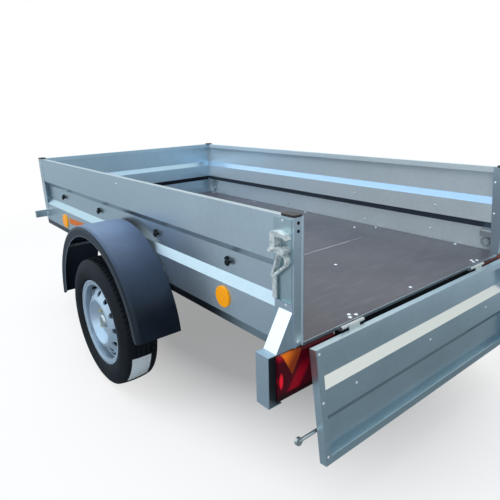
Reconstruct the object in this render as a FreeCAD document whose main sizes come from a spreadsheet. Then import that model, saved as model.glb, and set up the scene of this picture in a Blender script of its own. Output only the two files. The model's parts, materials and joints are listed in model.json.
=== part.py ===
import FreeCAD, Part
import os
import re
import Sketcher
from FreeCAD import Vector

# Utility trailer with a flat load bed, folded steel walls and a hanging tailgate.
# +X points forward to the coupling, +Y to the left and +Z up; z = 0 is the ground.
# Sizes are millimetres and plain numbers, each with its own name in the sheet.
SIZES = {
    # load bed
    "bed_rear": (-1607.8, "x of the rear end of the floor and side walls"),
    "floor_top": (510, "height of the load floor above the ground"),
    "bed_length": (2128.5, "length of the side walls"),
    "bed_width": (1194, "width over the side walls"),
    "wall_top": (350, "height of the walls above the floor"),
    "sheet": (1.5, "thickness of the folded wall sheet"),
    "rib_depth": (20, "depth of the wall's inward rib"),
    "rib_high": (225, "upper end of the rib's upper slope"),
    "rib_upper": (199, "lower end of the rib's upper slope"),
    "rib_lower": (122, "upper end of the rib's lower slope"),
    "rib_low": (93, "lower end of the rib's lower slope"),
    "hem_width": (20, "width of the rolled top edge"),
    "hem_drop": (23, "height of the rolled top edge"),
    "fold_start": (7, "depth below the floor where the wall folds in"),
    "fold_drop": (33, "depth below the floor of the wall's bottom flange"),
    "fold_width": (24, "inward reach of the sloping fold"),
    "flange_width": (40, "width of the wall's bottom flange"),
    "front_drop": (28, "depth below the floor of the front wall's edge"),
    "floor_thick": (9, "thickness of the floor panels"),
    "floor_seam": (541, "length of the rear floor panel"),
    "panel_gap": (1, "gap at the seam and the front edge of the floor"),
    "floor_side_gap": (3, "gap from the floor's side edge to the wall sheet"),
    "seam_play": (0.5, "gap at each end of the front wall and of the sill"),
    # corner posts
    "post_side": (70, "width of a rear post along the side wall"),
    "post_rear": (33, "width of a rear post's rear face inside the wall plane"),
    "post_inner_foot": (33, "width of a rear post's inner flange at the floor"),
    "post_inner_top": (60, "width of a rear post's inner flange at its top"),
    "post_front": (50, "width of each flange of a front post"),
    "post_foot": (5, "depth of the posts below the floor"),
    "post_bead": (3, "height of the ridges on a rear post's rear face"),
    "bead_width": (8, "width of the ridge at a rear post's corner"),
    "post_lip": (5, "width of the ridge at a rear post's inner edge"),
    "post_hole": (3.2, "radius of the holes in a rear post's rear face"),
    "post_hole_high": (334, "height of the upper hole above the floor"),
    "post_hole_low": (313, "height of the lower hole above the floor"),
    "post_hole_place": (17, "distance of the holes inside the wall's outer plane"),
    "cap_thick": (6, "thickness of a post cap"),
    "cap_length": (46, "length of a post cap"),
    "cap_over": (1, "overhang of a post cap"),
    "cap_inset": (2, "distance of a post cap's inner side from the post's inner edge"),
    "cap_round": (9, "radius of a post cap's corners"),
    # under the floor
    "member_width": (40, "width of a cross member"),
    "member_wall": (2, "wall of a cross member"),
    "member_first": (55, "distance of the rear cross member from the bed's end"),
    "member_last": (45, "distance of the front cross member's rear edge from the front"),
    "member_inset": (3, "gap from a cross member's end to the sloping fold"),
    "sill_lip": (30, "depth of the sill under the floor"),
    "drawbar_width": (40, "width of a drawbar tube"),
    "drawbar_height": (60, "height of a drawbar tube"),
    "drawbar_wall": (3, "wall of a drawbar tube"),
    "drawbar_reach": (930, "reach of the drawbar tubes ahead of the bed"),
    "drawbar_nose": (52, "distance of a tube's centre from the middle at the nose"),
    "drawbar_tail": (431, "distance of a tube's centre from the middle at its rear end"),
    "tail_back": (100, "distance of the tubes' rear ends behind the axle tube's middle"),
    # axle and wheels
    "axle_place": (996, "distance of the wheel centres from the bed's rear end"),
    "wheel_radius": (274, "outer radius of a tyre"),
    "wheel_offset": (696, "distance of a tyre's middle plane from the middle"),
    "tyre_width": (155, "section width of a tyre"),
    "tread_width": (118, "width of the tread band"),
    "rim_width": (128, "width over the rim flanges"),
    "side_bulge": (42, "height of a tyre's widest place above the rim flange"),
    "shoulder_drop": (8, "depth of a tyre's shoulder under its crown"),
    "bead_place": (14, "distance of a tyre's bead inside the rim flange"),
    "rim_radius": (182, "outer radius of the rim flange"),
    "bead_radius": (165, "radius of the rim's bead seat"),
    "well_radius": (148, "radius of the rim's well"),
    "rim_wall": (3.5, "thickness of the rim and disc"),
    "seat_gap": (0.3, "gap between a tyre's bead and its seat"),
    "well_start": (18, "distance of the rim well's inner end from the tyre's middle"),
    "well_end": (14, "distance of the rim well's outer end from the tyre's middle"),
    "well_slope": (12, "width of each slope between the well and a bead seat"),
    "disc_place": (30, "outward distance of the wheel's mounting face"),
    "vent_count": (12, "number of vents in a wheel disc"),
    "vent_circle": (125, "radius of the circle of vents"),
    "vent_plane": (49, "outward distance of the disc at its vents"),
    "crest_radius": (97, "radius of the raised ring of the disc"),
    "crest_plane": (65, "outward distance of the raised ring"),
    "vent_radius": (12, "radius of a vent"),
    "cup_radius": (70, "radius of the flat bottom of the disc's cup"),
    "centre_radius": (30, "radius of the disc's centre hole"),
    "hub_radius": (64, "radius of the hub flange"),
    "hub_thick": (14, "thickness of the hub flange"),
    "hub_barrel": (42, "radius of the hub's barrel behind its flange"),
    "hub_back": (60, "length of the hub behind the wheel's mounting face"),
    "hub_nose": (23, "length of the hub and its cap ahead of the mounting face"),
    "nose_cone": (7, "taper of the hub cap"),
    "spindle_radius": (17.5, "radius of a stub axle"),
    "spindle_reach": (16, "length of a stub axle beyond the mounting face"),
    "spindle_fit": (0.05, "radial running clearance of the hub bore"),
    "beam_side": (60, "side of the square axle tube"),
    "beam_wall": (4, "wall of the axle tube"),
    "beam_half": (470, "half length of the axle tube"),
    "beam_ahead": (118, "distance of the axle tube ahead of the wheel centres"),
    "arm_thick": (22, "thickness of a swing arm"),
    "arm_gap": (8, "gap between the axle tube and a swing arm"),
    "arm_boss": (31, "radius of a swing arm's ends"),
    "shaft_seat": (60, "length of a swing arm's shaft inside the axle tube"),
    # mudguards
    "guard_radius": (402, "outer radius of a mudguard"),
    "guard_centre_back": (6, "distance of a mudguard's centre behind the wheel centre"),
    "guard_centre_height": (285, "height of a mudguard's centre"),
    "guard_wall": (4, "thickness of a mudguard"),
    "guard_inner": (601, "distance of a mudguard's inner edge from the middle"),
    "guard_width": (175, "width of a mudguard"),
    "guard_lip": (42, "depth of a mudguard's outer lip"),
    "guard_tuck": (3, "inward lean of a mudguard's outer lip"),
    "guard_round": (14, "radius of a mudguard's outer crease"),
    "guard_corner": (26, "radius of the lip's corners"),
    "guard_sweep": (171, "angle that a mudguard covers"),
    "guard_tilt": (2, "angle from a mudguard's rear end to the level"),
    "stay_width": (18, "width of a mudguard stay's foot"),
    "stay_drop": (40, "height of a mudguard stay's foot"),
    "stay_radius": (7, "radius of a mudguard stay's bar"),
    "stay_spread": (290, "distance of a stay from the mudguard's centre"),
    # rear lamps
    "lamp_depth": (50, "depth of a rear lamp"),
    "lamp_gap": (10, "gap between a hinge leaf and a lamp"),
    "lamp_outer": (656, "distance of a lamp's outer end from the middle"),
    "lamp_top": (12, "depth of a lamp's top below the floor"),
    "lamp_bottom": (153, "depth of a lamp's bottom below the floor"),
    "lens_thick": (12, "thickness of a lamp lens"),
    "lens_bulge": (6, "depth of a lens's bevelled edges"),
    "lens_inset": (9, "rim of the housing around a lens"),
    "lens_margin": (2, "bare end of the housing beside a lens"),
    "lamp_round": (8, "radius of a lamp housing's edges"),
    "bar_depth": (46, "depth of the bar between the lamps"),
    "bar_height": (62, "height of the bar between the lamps"),
    "bar_sheet": (2.5, "thickness of the bar between the lamps"),
    "strap_width": (50, "width of the lamp guard strip"),
    "strap_thick": (2, "thickness of the lamp guard strip"),
    "strap_high": (122, "height of the strip's top end above the floor"),
    "strap_bend": (98, "height where the strip slopes out"),
    "strap_shoulder": (3, "depth of the strip's shoulder below the floor"),
    "strap_reach": (658, "distance of the shoulder's start from the middle"),
    "strap_outer": (686, "distance of the strip's outer face from the middle"),
    "strap_bottom": (155, "depth of the strip's bottom lip below the floor"),
    "strap_lip": (46, "width of the strip's bottom lip"),
    # tailgate
    "pin_back": (12, "distance of the hinge pins behind the bed's rear end"),
    "pin_drop": (4, "depth of the hinge pins below the floor"),
    "pin_radius": (3, "radius of a hinge pin"),
    "pin_fit": (0.06, "radial running clearance of a hinge knuckle"),
    "knuckle_radius": (6, "outer radius of a hinge knuckle"),
    "hinge_place": (370, "distance of a hinge from the middle"),
    "hinge_width": (100, "width of a hinge"),
    "knuckle_width": (48, "width of the moving knuckle"),
    "knuckle_gap": (0.5, "end play of the moving knuckle"),
    "knuckle_play": (1.5, "gap between a fixed knuckle's arm and the sill"),
    "leaf_thick": (3, "thickness of a hinge leaf"),
    "leaf_depth": (50, "depth of the fixed leaf under the floor"),
    "leaf_height": (45, "height of the moving leaf on the tailgate"),
    "gate_half": (559, "half length of the tailgate"),
    "gate_height": (345, "height of the tailgate"),
    "gate_thick": (25, "thickness of the tailgate"),
    "gate_out": (9, "distance of the tailgate's outer face ahead of the pins"),
    "gate_up": (9, "height of the closed tailgate's foot above the pins"),
    "gate_hang": (172.3, "turn of the tailgate from closed to hanging"),
    "gate_rib": (18, "depth of the tailgate's rib"),
    "gate_rib_low": (97, "lower end of the rib's lower slope on the tailgate"),
    "gate_rib_lower": (126, "upper end of the rib's lower slope on the tailgate"),
    "gate_rib_upper": (203, "lower end of the rib's upper slope on the tailgate"),
    "gate_rib_high": (229, "upper end of the rib's upper slope on the tailgate"),
    "gate_foot": (22, "height of the tailgate's bottom fold"),
    "gate_end": (22, "width of the channels at the tailgate's ends"),
    "rod_radius": (5, "radius of a tailgate rod"),
    "rod_height": (258, "height of the rods above the pins when closed"),
    "rod_inner": (480, "distance of a rod's inner end from the middle"),
    "rod_outer": (622, "distance of a rod's outer end from the middle"),
    "rod_saddle": (520, "distance of a rod's saddle from the middle"),
    "saddle_width": (28, "width of a rod's saddle"),
    "saddle_height": (24, "height of a rod's saddle"),
    "rod_eye": (12, "radius of the disc at a rod's outer end"),
    "eye_thick": (8, "thickness of the disc at a rod's outer end"),
    # toggle latches
    "latch_back": (2, "distance of a latch plate from the bed's rear end"),
    "latch_width": (66, "width of a latch plate"),
    "latch_thick": (2, "thickness of a latch plate"),
    "latch_foot": (122, "height of a latch plate's lower edge above the floor"),
    "latch_top": (344, "height of a latch plate's upper edge above the floor"),
    "latch_lip": (8, "width of a latch plate's bent lower edge"),
    "claw_back": (6, "distance of a latch's claw from the bed's rear end"),
    "claw_foot": (256, "height of the claw's lower jaw above the floor"),
    "claw_height": (58, "height of the claw"),
    "claw_length": (54, "length of the claw"),
    "claw_reach": (22, "distance that the claw stands out from its plate"),
    "pivot_radius": (6, "radius of the latch's pivot pin"),
    "pivot_reach": (10, "length of the pivot pin beyond the claw"),
    "loop_radius": (20, "outer radius of the latch's loop"),
    "loop_bar": (5, "thickness of the loop's strip"),
    "loop_width": (13, "width of the loop's strip"),
    "loop_length": (61, "distance from the loop's centre to its tip"),
    "loop_lean": (35, "lean of the loop from the vertical"),
    "loop_out": (6, "distance of the loop from the latch plate"),
    "loop_sink": (2, "overlap of the loop with the claw"),
    "loop_place": (17, "distance of the loop's centre ahead of the claw's rear edge"),
    "handle_width": (14, "width of the latch's handle"),
    "handle_thick": (4, "thickness of the latch's handle"),
    "handle_length": (58, "length of the latch's handle"),
    # small pieces on the walls
    "hook_first": (297, "distance of the first rope hook from the bed's rear end"),
    "hook_second": (755, "distance of the second rope hook from the bed's rear end"),
    "hook_third": (816.5, "distance of the third rope hook from the bed's front end"),
    "hook_fourth": (321.5, "distance of the fourth rope hook from the bed's front end"),
    "hook_height": (160, "height of the rope hooks above the floor"),
    "hook_radius": (11, "radius of a rope hook's head"),
    "hook_reach": (16, "reach of a rope hook"),
    "hook_stem": (5.5, "radius of a rope hook's stem"),
    "hook_bevel": (3, "bevel of a rope hook's head"),
    "reflector_rear": (324, "distance of the rear reflector from the bed's rear end"),
    "reflector_front": (319.5, "distance of the front reflector from the bed's front end"),
    "reflector_radius": (38, "radius of a side reflector"),
    "reflector_thick": (7, "thickness of a side reflector"),
    "reflector_height": (44, "height of the side reflectors above the floor"),
    "ring_rear": (62, "distance of the rear ring from the bed's rear end"),
    "ring_front": (62.5, "distance of the front ring from the bed's front end"),
    "ring_radius": (17, "radius of a tie-down ring's centre line"),
    "ring_wire": (3.5, "radius of a tie-down ring's wire"),
    "ring_height": (37, "height of the tie-down rings above the floor"),
    "ring_bracket": (46, "width of a tie-down ring's bracket"),
    "ring_plate": (2.5, "thickness of a tie-down ring's bracket"),
    "ring_hood": (20, "distance that a bracket stands out from the wall"),
    "ring_hood_foot": (58, "height of a bracket's hood above the floor"),
    "ring_hood_top": (84, "height of the bend over a bracket's hood"),
    "ring_flange": (8, "height of a bracket's flange on the wall"),
    "ring_lug": (16, "width of the lug that holds a ring"),
    "marker_height": (28, "height of the front markers above the floor"),
    "marker_size": (40, "height of a front marker"),
    "marker_reach": (62, "distance of a marker's outer end from the side wall"),
    "marker_start": (8, "distance of a marker lens's inner end from the side wall"),
    "marker_foot": (30, "width of a marker bracket on the front wall"),
    "marker_plate": (3, "thickness of a marker bracket"),
    "marker_depth": (25, "depth of a marker lens"),
    "marker_bevel": (9, "bevel of a marker lens's front corners"),
    # coupling and jockey wheel
    "ball_place": (1150, "distance of the coupling ball ahead of the bed"),
    "ball_drop": (53.5, "depth of the coupling socket's centre under the drawbar's top"),
    "socket_radius": (25.2, "radius of the coupling socket"),
    "socket_depth": (34, "depth of the coupling socket"),
    "head_wall": (5, "wall of the coupling head"),
    "head_back": (110, "length of the coupling head behind the drawbar's nose"),
    "head_flat": (62, "length of the head's flat top behind the socket's centre"),
    "head_slope": (170, "distance of the head's upper bend behind the socket's centre"),
    "plate_ahead": (36, "length of the coupling plate ahead of the nose"),
    "plate_thick": (5, "thickness of the coupling plate"),
    "lever_width": (26, "width of the coupling lever"),
    "lever_length": (176, "length of the coupling lever"),
    "lever_height": (66, "height of the coupling lever's grip"),
    "lever_ahead": (8, "distance of the lever's front end ahead of the socket's centre"),
    "jockey_back": (250, "distance of the jockey tube behind the drawbar's nose"),
    "clamp_wall": (8, "wall of the jockey clamp"),
    "clamp_pad": (68, "length of the jockey clamp on the drawbar"),
    "clamp_foot": (6, "extra thickness of the jockey clamp's foot"),
    "clamp_bolt": (6, "radius of the jockey clamp's bolt"),
    "bolt_reach": (30, "length of the clamp's bolt beyond its shell"),
    "bolt_bar": (4, "radius of the clamp bolt's crossbar"),
    "bar_length": (70, "length of the clamp bolt's crossbar"),
    "jack_radius": (24, "outer radius of the jockey wheel's outer tube"),
    "jack_wall": (2.5, "wall of the jockey wheel's tubes"),
    "jack_fit": (0.08, "radial clearance between the jockey wheel's tubes"),
    "jack_top": (680, "height of the outer tube's top"),
    "jack_collar": (3, "step of the collars on the outer tube"),
    "collar_height": (12, "height of the collars on the outer tube"),
    "stem_room": (138, "distance of the inner tube's top under the outer tube's top"),
    "stem_foot": (12, "thickness of the inner tube's closed end"),
    "crank_hub": (10, "radius of the crank's hub"),
    "crank_radius": (7, "radius of the crank's arm"),
    "crank_rise": (24, "height of the crank's arm above the outer tube"),
    "crank_arm": (98, "length of the crank's arm"),
    "grip_radius": (11, "radius of the crank's grip"),
    "grip_length": (88, "length of the crank's grip"),
    "jack_foot": (380, "height of the outer tube's lower end"),
    "swivel_height": (236, "height of the inner tube's lower end"),
    "jockey_radius": (100, "radius of the jockey wheel"),
    "jockey_width": (50, "width of the jockey wheel"),
    "jockey_trail": (32, "trail of the jockey wheel behind its tube"),
    "jockey_pin": (7.95, "radius of the jockey wheel's axle"),
    "jockey_bore": (8, "radius of the jockey wheel's bore"),
    "jockey_hub": (24, "radius of the jockey wheel's hub"),
    "jockey_web": (72, "inner radius of the jockey wheel's tread ring"),
    "jockey_shoulder": (10, "bevel of the jockey wheel's tread"),
    "web_slope": (6, "width of the slopes between the wheel's web and its rings"),
    "fork_gap": (6, "gap between the jockey wheel and its fork"),
    "fork_thick": (4, "thickness of the jockey fork"),
    "fork_width": (40, "width of a fork leg at the crown"),
    "fork_crown": (8, "thickness of the fork's crown"),
    "fork_boss": (16, "radius of a fork leg's lower end"),
    "clearance": (0.3, "gap between curved faces of neighbouring bodies"),
}

doc = FreeCAD.newDocument("UtilityTrailer")
sheet = doc.addObject("Spreadsheet::Sheet", "Sizes")
for row, (alias, (value, meaning)) in enumerate(SIZES.items(), start=1):
    sheet.set(f"A{row}", meaning)
    sheet.set(f"B{row}", str(value))
    sheet.setAlias(f"B{row}", alias)
doc.recompute()

WORDS = re.compile(r"\b(" + "|".join(sorted(SIZES, key=len, reverse=True)) + r")\b")
pieces = []


def formula(text):
    """Turn size names in a formula into references to the sheet."""
    return WORDS.sub(r"Sizes.\1", str(text))


def value_of(text):
    """Work out a formula of size names as a plain number."""
    result = sheet.evalExpression(formula(text))
    return float(getattr(result, "Value", result))


def bind(item, **formulas):
    """Bind properties of an object to formulas of size names."""
    for path, text in formulas.items():
        item.setExpression(path.replace("__", "."), formula(text))


def place(item, x="0", y="0", z="0"):
    """Bind an object's position to formulas of size names."""
    item.setExpression("Placement.Base.x", formula(x))
    item.setExpression("Placement.Base.y", formula(y))
    item.setExpression("Placement.Base.z", formula(z))
    return item


def turn(item, axis, angle):
    """Turn an object about an axis through its own origin."""
    item.Placement = FreeCAD.Placement(Vector(0, 0, 0), FreeCAD.Rotation(axis, 1))
    item.setExpression("Placement.Rotation.Angle", formula(angle))
    return item


def piece(item, label):
    """Name a finished sub-part and keep it for the export."""
    item.Label = label
    pieces.append(item)
    return item


def box(x_range, y_range, z_range):
    """A block between two formulas along each axis."""
    item = doc.addObject("Part::Box", "block")
    bind(item, Length=f"({x_range[1]}) - ({x_range[0]})")
    bind(item, Width=f"({y_range[1]}) - ({y_range[0]})")
    bind(item, Height=f"({z_range[1]}) - ({z_range[0]})")
    return place(item, x_range[0], y_range[0], z_range[0])


def cylinder(radius, length, x, y, z, axis="z"):
    """A cylinder that starts at a point and runs along x, y or z."""
    item = doc.addObject("Part::Cylinder", "round")
    turns = {
        "x": FreeCAD.Rotation(Vector(0, 1, 0), 90),
        "y": FreeCAD.Rotation(Vector(1, 0, 0), -90),
        "z": FreeCAD.Rotation(),
    }
    item.Placement = FreeCAD.Placement(Vector(0, 0, 0), turns[axis])
    bind(item, Radius=radius, Height=length)
    return place(item, x, y, z)


def fuse(items):
    """One solid made of overlapping shapes."""
    item = doc.addObject("Part::MultiFuse", "joined")
    item.Shapes = items
    item.Refine = True
    return item


def cut(base, tools):
    """A shape with one or more others taken away."""
    tool = tools[0] if len(tools) == 1 else fuse(tools)
    item = doc.addObject("Part::Cut", "trimmed")
    item.Base = base
    item.Tool = tool
    return item


def group(items):
    """Like pieces of one body that do not touch, kept as separate solids."""
    item = doc.addObject("Part::Compound", "set")
    item.Links = items
    return item


def mirror(item):
    """The same shape on the other side of the middle plane."""
    twin = doc.addObject("Part::Mirroring", "twin")
    twin.Source = item
    twin.Normal = Vector(0, 1, 0)
    twin.Base = Vector(0, 0, 0)
    return twin


def pair(item, name):
    """A left piece and its mirrored twin on the right."""
    return piece(item, f"{name}_left"), piece(mirror(item), f"{name}_right")


def outline(body, role, points, name="outline"):
    """A closed sketch of straight edges, each corner bound to two formulas."""
    sketch = body.newObject("Sketcher::SketchObject", name)
    plane = [item for item in body.Origin.OriginFeatures if item.Role == role][0]
    sketch.AttachmentSupport = [(plane, "")]
    sketch.MapMode = "FlatFace"
    corners = [Vector(value_of(across), value_of(up), 0) for across, up in points]
    count = len(corners)
    for index in range(count):
        edge = Part.LineSegment(corners[index], corners[(index + 1) % count])
        sketch.addGeometry(edge, False)
    for index in range(count):
        joint = Sketcher.Constraint("Coincident", index, 2, (index + 1) % count, 1)
        sketch.addConstraint(joint)
    for index, (across, up) in enumerate(points):
        for kind, text, number in (
            ("DistanceX", across, corners[index].x),
            ("DistanceY", up, corners[index].y),
        ):
            mark = sketch.addConstraint(Sketcher.Constraint(kind, -1, 1, index, 1, number))
            sketch.setExpression(f"Constraints[{mark}]", formula(text))
    return sketch


def circle_sketch(body, role, across, up, radius, name="ring"):
    """A sketch of one circle, its centre and radius bound to formulas."""
    sketch = body.newObject("Sketcher::SketchObject", name)
    plane = [item for item in body.Origin.OriginFeatures if item.Role == role][0]
    sketch.AttachmentSupport = [(plane, "")]
    sketch.MapMode = "FlatFace"
    centre = Vector(value_of(across), value_of(up), 0)
    sketch.addGeometry(Part.Circle(centre, Vector(0, 0, 1), value_of(radius)), False)
    limits = (
        Sketcher.Constraint("DistanceX", -1, 1, 0, 3, centre.x),
        Sketcher.Constraint("DistanceY", -1, 1, 0, 3, centre.y),
        Sketcher.Constraint("Radius", 0, value_of(radius)),
    )
    for limit, text in zip(limits, (across, up, radius)):
        mark = sketch.addConstraint(limit)
        sketch.setExpression(f"Constraints[{mark}]", formula(text))
    return sketch


def folded(role, points, length, centred=False):
    """A bent sheet or bar: a section padded to a length."""
    body = doc.addObject("PartDesign::Body", "section")
    sketch = outline(body, role, points)
    pad = body.newObject("PartDesign::Pad", "run")
    pad.Profile = sketch
    bind(pad, Length=length)
    pad.Midplane = centred
    return body


def turned(points, angle="360"):
    """A round piece: a section of (along, radius) points turned about y."""
    body = doc.addObject("PartDesign::Body", "turned")
    sketch = outline(body, "YZ_Plane", points)
    spin = body.newObject("PartDesign::Revolution", "spin")
    spin.Profile = sketch
    spin.ReferenceAxis = (sketch, ["H_Axis"])
    bind(spin, Angle=angle)
    return body


def bent(path, thick="sheet"):
    """Outline of a bent strip from its outer corners and their shifts to the inner side."""
    outer = [(across, up) for across, up, _, _ in path]
    inner = [
        (f"{across} + ({inward}) * {thick}", f"{up} + ({rise}) * {thick}")
        for across, up, inward, rise in reversed(path)
    ]
    return outer + inner


def scaled(start, length, foot, height, parts):
    """Corners given as parts of a length and a height from a starting corner."""
    return [(f"{start} + {along} * {length}", f"{foot} + {up} * {height}") for along, up in parts]


def rounded(body, radius, pick):
    """Round the edges of a body that a test picks."""
    doc.recompute()
    last = body.Group[-1]
    names = [f"Edge{count}" for count, edge in enumerate(last.Shape.Edges, start=1) if pick(edge)]
    fillet = body.newObject("PartDesign::Fillet", "rounding")
    fillet.Base = (last, names)
    bind(fillet, Radius=radius)
    body.Tip = fillet
    return body


def upright(edge):
    """True for an edge that runs along z."""
    return abs(edge.BoundBox.ZLength - edge.Length) < SLACK


def level(edge):
    """True for an edge that runs along x."""
    return abs(edge.BoundBox.XLength - edge.Length) < SLACK


SLACK = 0.001
HALF = "(bed_width / 2)"
BED_FRONT = "(bed_rear + bed_length)"
WALL_TOP = "(floor_top + wall_top)"
MEMBER_TOP = "(floor_top - floor_thick)"
MEMBER_FOOT = "(floor_top - fold_drop + sheet)"
LEAF_TOP = f"({MEMBER_TOP} - sheet)"
WHEEL_X = "(bed_rear + axle_place)"
BEAM_X = f"({WHEEL_X} + beam_ahead)"
BEAM_TOP = f"({MEMBER_FOOT} - drawbar_height)"
GUARD_X = f"({WHEEL_X} - guard_centre_back)"
GUARD_INSIDE = "(guard_radius - guard_wall)"
GUARD_OUTER = "(guard_inner + guard_width)"
LAMP_INNER = "(hinge_place + hinge_width / 2 + lamp_gap)"
NOSE = f"({BED_FRONT} + drawbar_reach)"
BALL_X = f"({BED_FRONT} + ball_place)"
BALL_Z = f"({MEMBER_FOOT} - ball_drop)"
RUN = "(bed_length + drawbar_reach - axle_place - beam_ahead + tail_back)"
SPREAD = "(drawbar_tail - drawbar_nose)"
SPLAY = f"atan({SPREAD} / {RUN})"


def wall_section(plane_at, low_end):
    """Section of the folded wall, rib and rolled top edge, from its outer plane inwards."""
    path = low_end + [
        ("0", "rib_low", 1, 0),
        ("rib_depth", "rib_lower", 1, 0),
        ("rib_depth", "rib_upper", 1, 0),
        ("0", "rib_high", 1, 0),
        ("0", "wall_top", 1, -1),
        ("hem_width", "wall_top", -1, -1),
        ("hem_width", "wall_top - hem_drop", -1, 0),
    ]
    return [(f"{plane_at} - ({depth})", height) for depth, height in bent(path)]


def side_walls():
    """Side walls, with the bottom fold cut back at the rear for the lamps."""
    low_end = [
        ("fold_width + flange_width", "-fold_drop", 0, 1),
        ("fold_width", "-fold_drop", 0, 1),
        ("0", "-fold_start", 1, 0),
    ]
    wall = folded("YZ_Plane", wall_section(HALF, low_end), "bed_length")
    place(wall, "bed_rear", "0", "floor_top")
    notch = box(
        ("bed_rear - sheet", "bed_rear + lamp_depth + sheet"),
        (f"{HALF} - fold_width - flange_width - sheet", f"{HALF} + sheet"),
        ("floor_top - fold_drop - sheet", "floor_top - fold_start"),
    )
    pair(cut(wall, [notch]), "side_wall")


def front_wall():
    """Front wall between the side walls, of the same section."""
    section = wall_section("bed_length", [("0", "-front_drop", 1, 0)])
    length = "bed_width - 2 * (rib_depth + sheet + seam_play)"
    wall = folded("XZ_Plane", section, length, centred=True)
    piece(place(wall, "bed_rear", "0", "floor_top"), "front_wall")


def floor():
    """Two plywood panels that meet at a seam."""
    side = f"{HALF} - sheet - floor_side_gap"
    seam = "bed_rear + floor_seam"
    for label, start, end in (
        ("floor_rear", "bed_rear", seam),
        ("floor_front", f"{seam} + panel_gap", f"{BED_FRONT} - sheet - panel_gap"),
    ):
        panel = box((start, end), (f"-({side})", side), (MEMBER_TOP, "floor_top"))
        piece(panel, label)


def posts():
    """Ridged corner posts folded over the ends of the walls, with moulded caps."""
    outer = f"{HALF} + sheet"
    face = "bed_rear - sheet"
    rear = bent([
        ("bed_rear + post_side", outer, 0, -1),
        (f"{face} - post_bead", outer, 1, -1),
        (f"{face} - post_bead", f"{outer} - bead_width", 1, 0),
        (face, f"{outer} - bead_width - post_bead", 1, 0),
        (face, f"{HALF} - post_rear + post_lip", 1, 0),
        (f"{face} - post_bead", f"{HALF} - post_rear + post_lip - post_bead", 1, 0),
        (f"{face} - post_bead", f"{HALF} - post_rear", 1, 0),
    ])
    front = bent([
        (f"{BED_FRONT} + sheet", f"{outer} - post_front", -1, 0),
        (f"{BED_FRONT} + sheet", outer, -1, -1),
        (f"{BED_FRONT} + sheet - post_front", outer, 0, -1),
    ])
    holes = [
        cylinder("post_hole", "post_bead + 2 * sheet", f"{face} - post_bead",
                 f"{HALF} - post_hole_place", f"floor_top + {height}", "x")
        for height in ("post_hole_high", "post_hole_low")
    ]
    rear_post = folded("XY_Plane", rear, "wall_top + post_foot")
    place(rear_post, "0", "0", "floor_top - post_foot")
    inner = folded(
        "XZ_Plane",
        [
            (face, "floor_top"),
            ("bed_rear + post_inner_foot", "floor_top"),
            ("bed_rear + post_inner_top", WALL_TOP),
            (face, WALL_TOP),
        ],
        "sheet",
    )
    place(inner, "0", f"{HALF} - rib_depth - sheet")
    pair(cut(fuse([rear_post, inner]), holes), "rear_post")
    front_post = folded("XY_Plane", front, "wall_top + post_foot")
    pair(place(front_post, "0", "0", "floor_top - post_foot"), "front_post")
    caps = []
    for start, end in (
        (f"{face} - post_bead - cap_over", "bed_rear + cap_length"),
        (f"{BED_FRONT} + sheet + cap_over - cap_length", f"{BED_FRONT} + sheet + cap_over"),
    ):
        low, high = f"{HALF} - post_rear + cap_inset", f"{outer} + cap_over"
        cap = folded("XY_Plane", [(start, low), (end, low), (end, high), (start, high)], "cap_thick")
        place(rounded(cap, "cap_round", upright), "0", "0", WALL_TOP)
        caps += [cap, mirror(cap)]
    piece(group(caps), "post_caps")


def sill():
    """Angle over the rear edge of the floor, between the rear posts."""
    angle = bent([
        ("bed_rear - sheet", "floor_top", 1, 0),
        ("bed_rear - sheet", LEAF_TOP, 1, 1),
        ("bed_rear + sill_lip", LEAF_TOP, 0, 1),
    ])
    length = f"2 * ({HALF} - post_rear - seam_play)"
    piece(folded("XZ_Plane", angle, length, centred=True), "rear_sill")


def cross_members():
    """Five channels, open below, between the side walls' bottom folds."""
    half = "(member_width / 2)"
    channel = bent(
        [
            (f"-{half}", MEMBER_FOOT, 1, 0),
            (f"-{half}", MEMBER_TOP, 1, -1),
            (half, MEMBER_TOP, -1, -1),
            (half, MEMBER_FOOT, -1, 0),
        ],
        "member_wall",
    )
    last = f"({BED_FRONT} - member_last + {half})"
    members = []
    for spot in (
        f"bed_rear + member_first + {half}",
        "bed_rear + floor_seam",
        BEAM_X,
        f"({BEAM_X} + {last}) / 2",
        last,
    ):
        length = f"2 * ({HALF} - fold_width - member_inset)"
        members.append(place(folded("XZ_Plane", channel, length, centred=True), spot))
    piece(group(members), "cross_members")


def drawbar():
    """Two rectangular tubes that run together from the axle to the nose."""
    half = "drawbar_width / 2"
    length = f"sqrt({RUN} * {RUN} + {SPREAD} * {SPREAD})"
    tube = cut(
        box((f"-{length}", "0"), (f"-{half}", half), ("-drawbar_height", "0")),
        [box((f"-{length} - drawbar_wall", "drawbar_wall"),
             (f"drawbar_wall - {half}", f"{half} - drawbar_wall"),
             ("drawbar_wall - drawbar_height", "-drawbar_wall"))],
    )
    turn(tube, Vector(0, 0, -1), SPLAY)
    pair(place(tube, NOSE, "drawbar_nose", MEMBER_FOOT), "drawbar")


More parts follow.
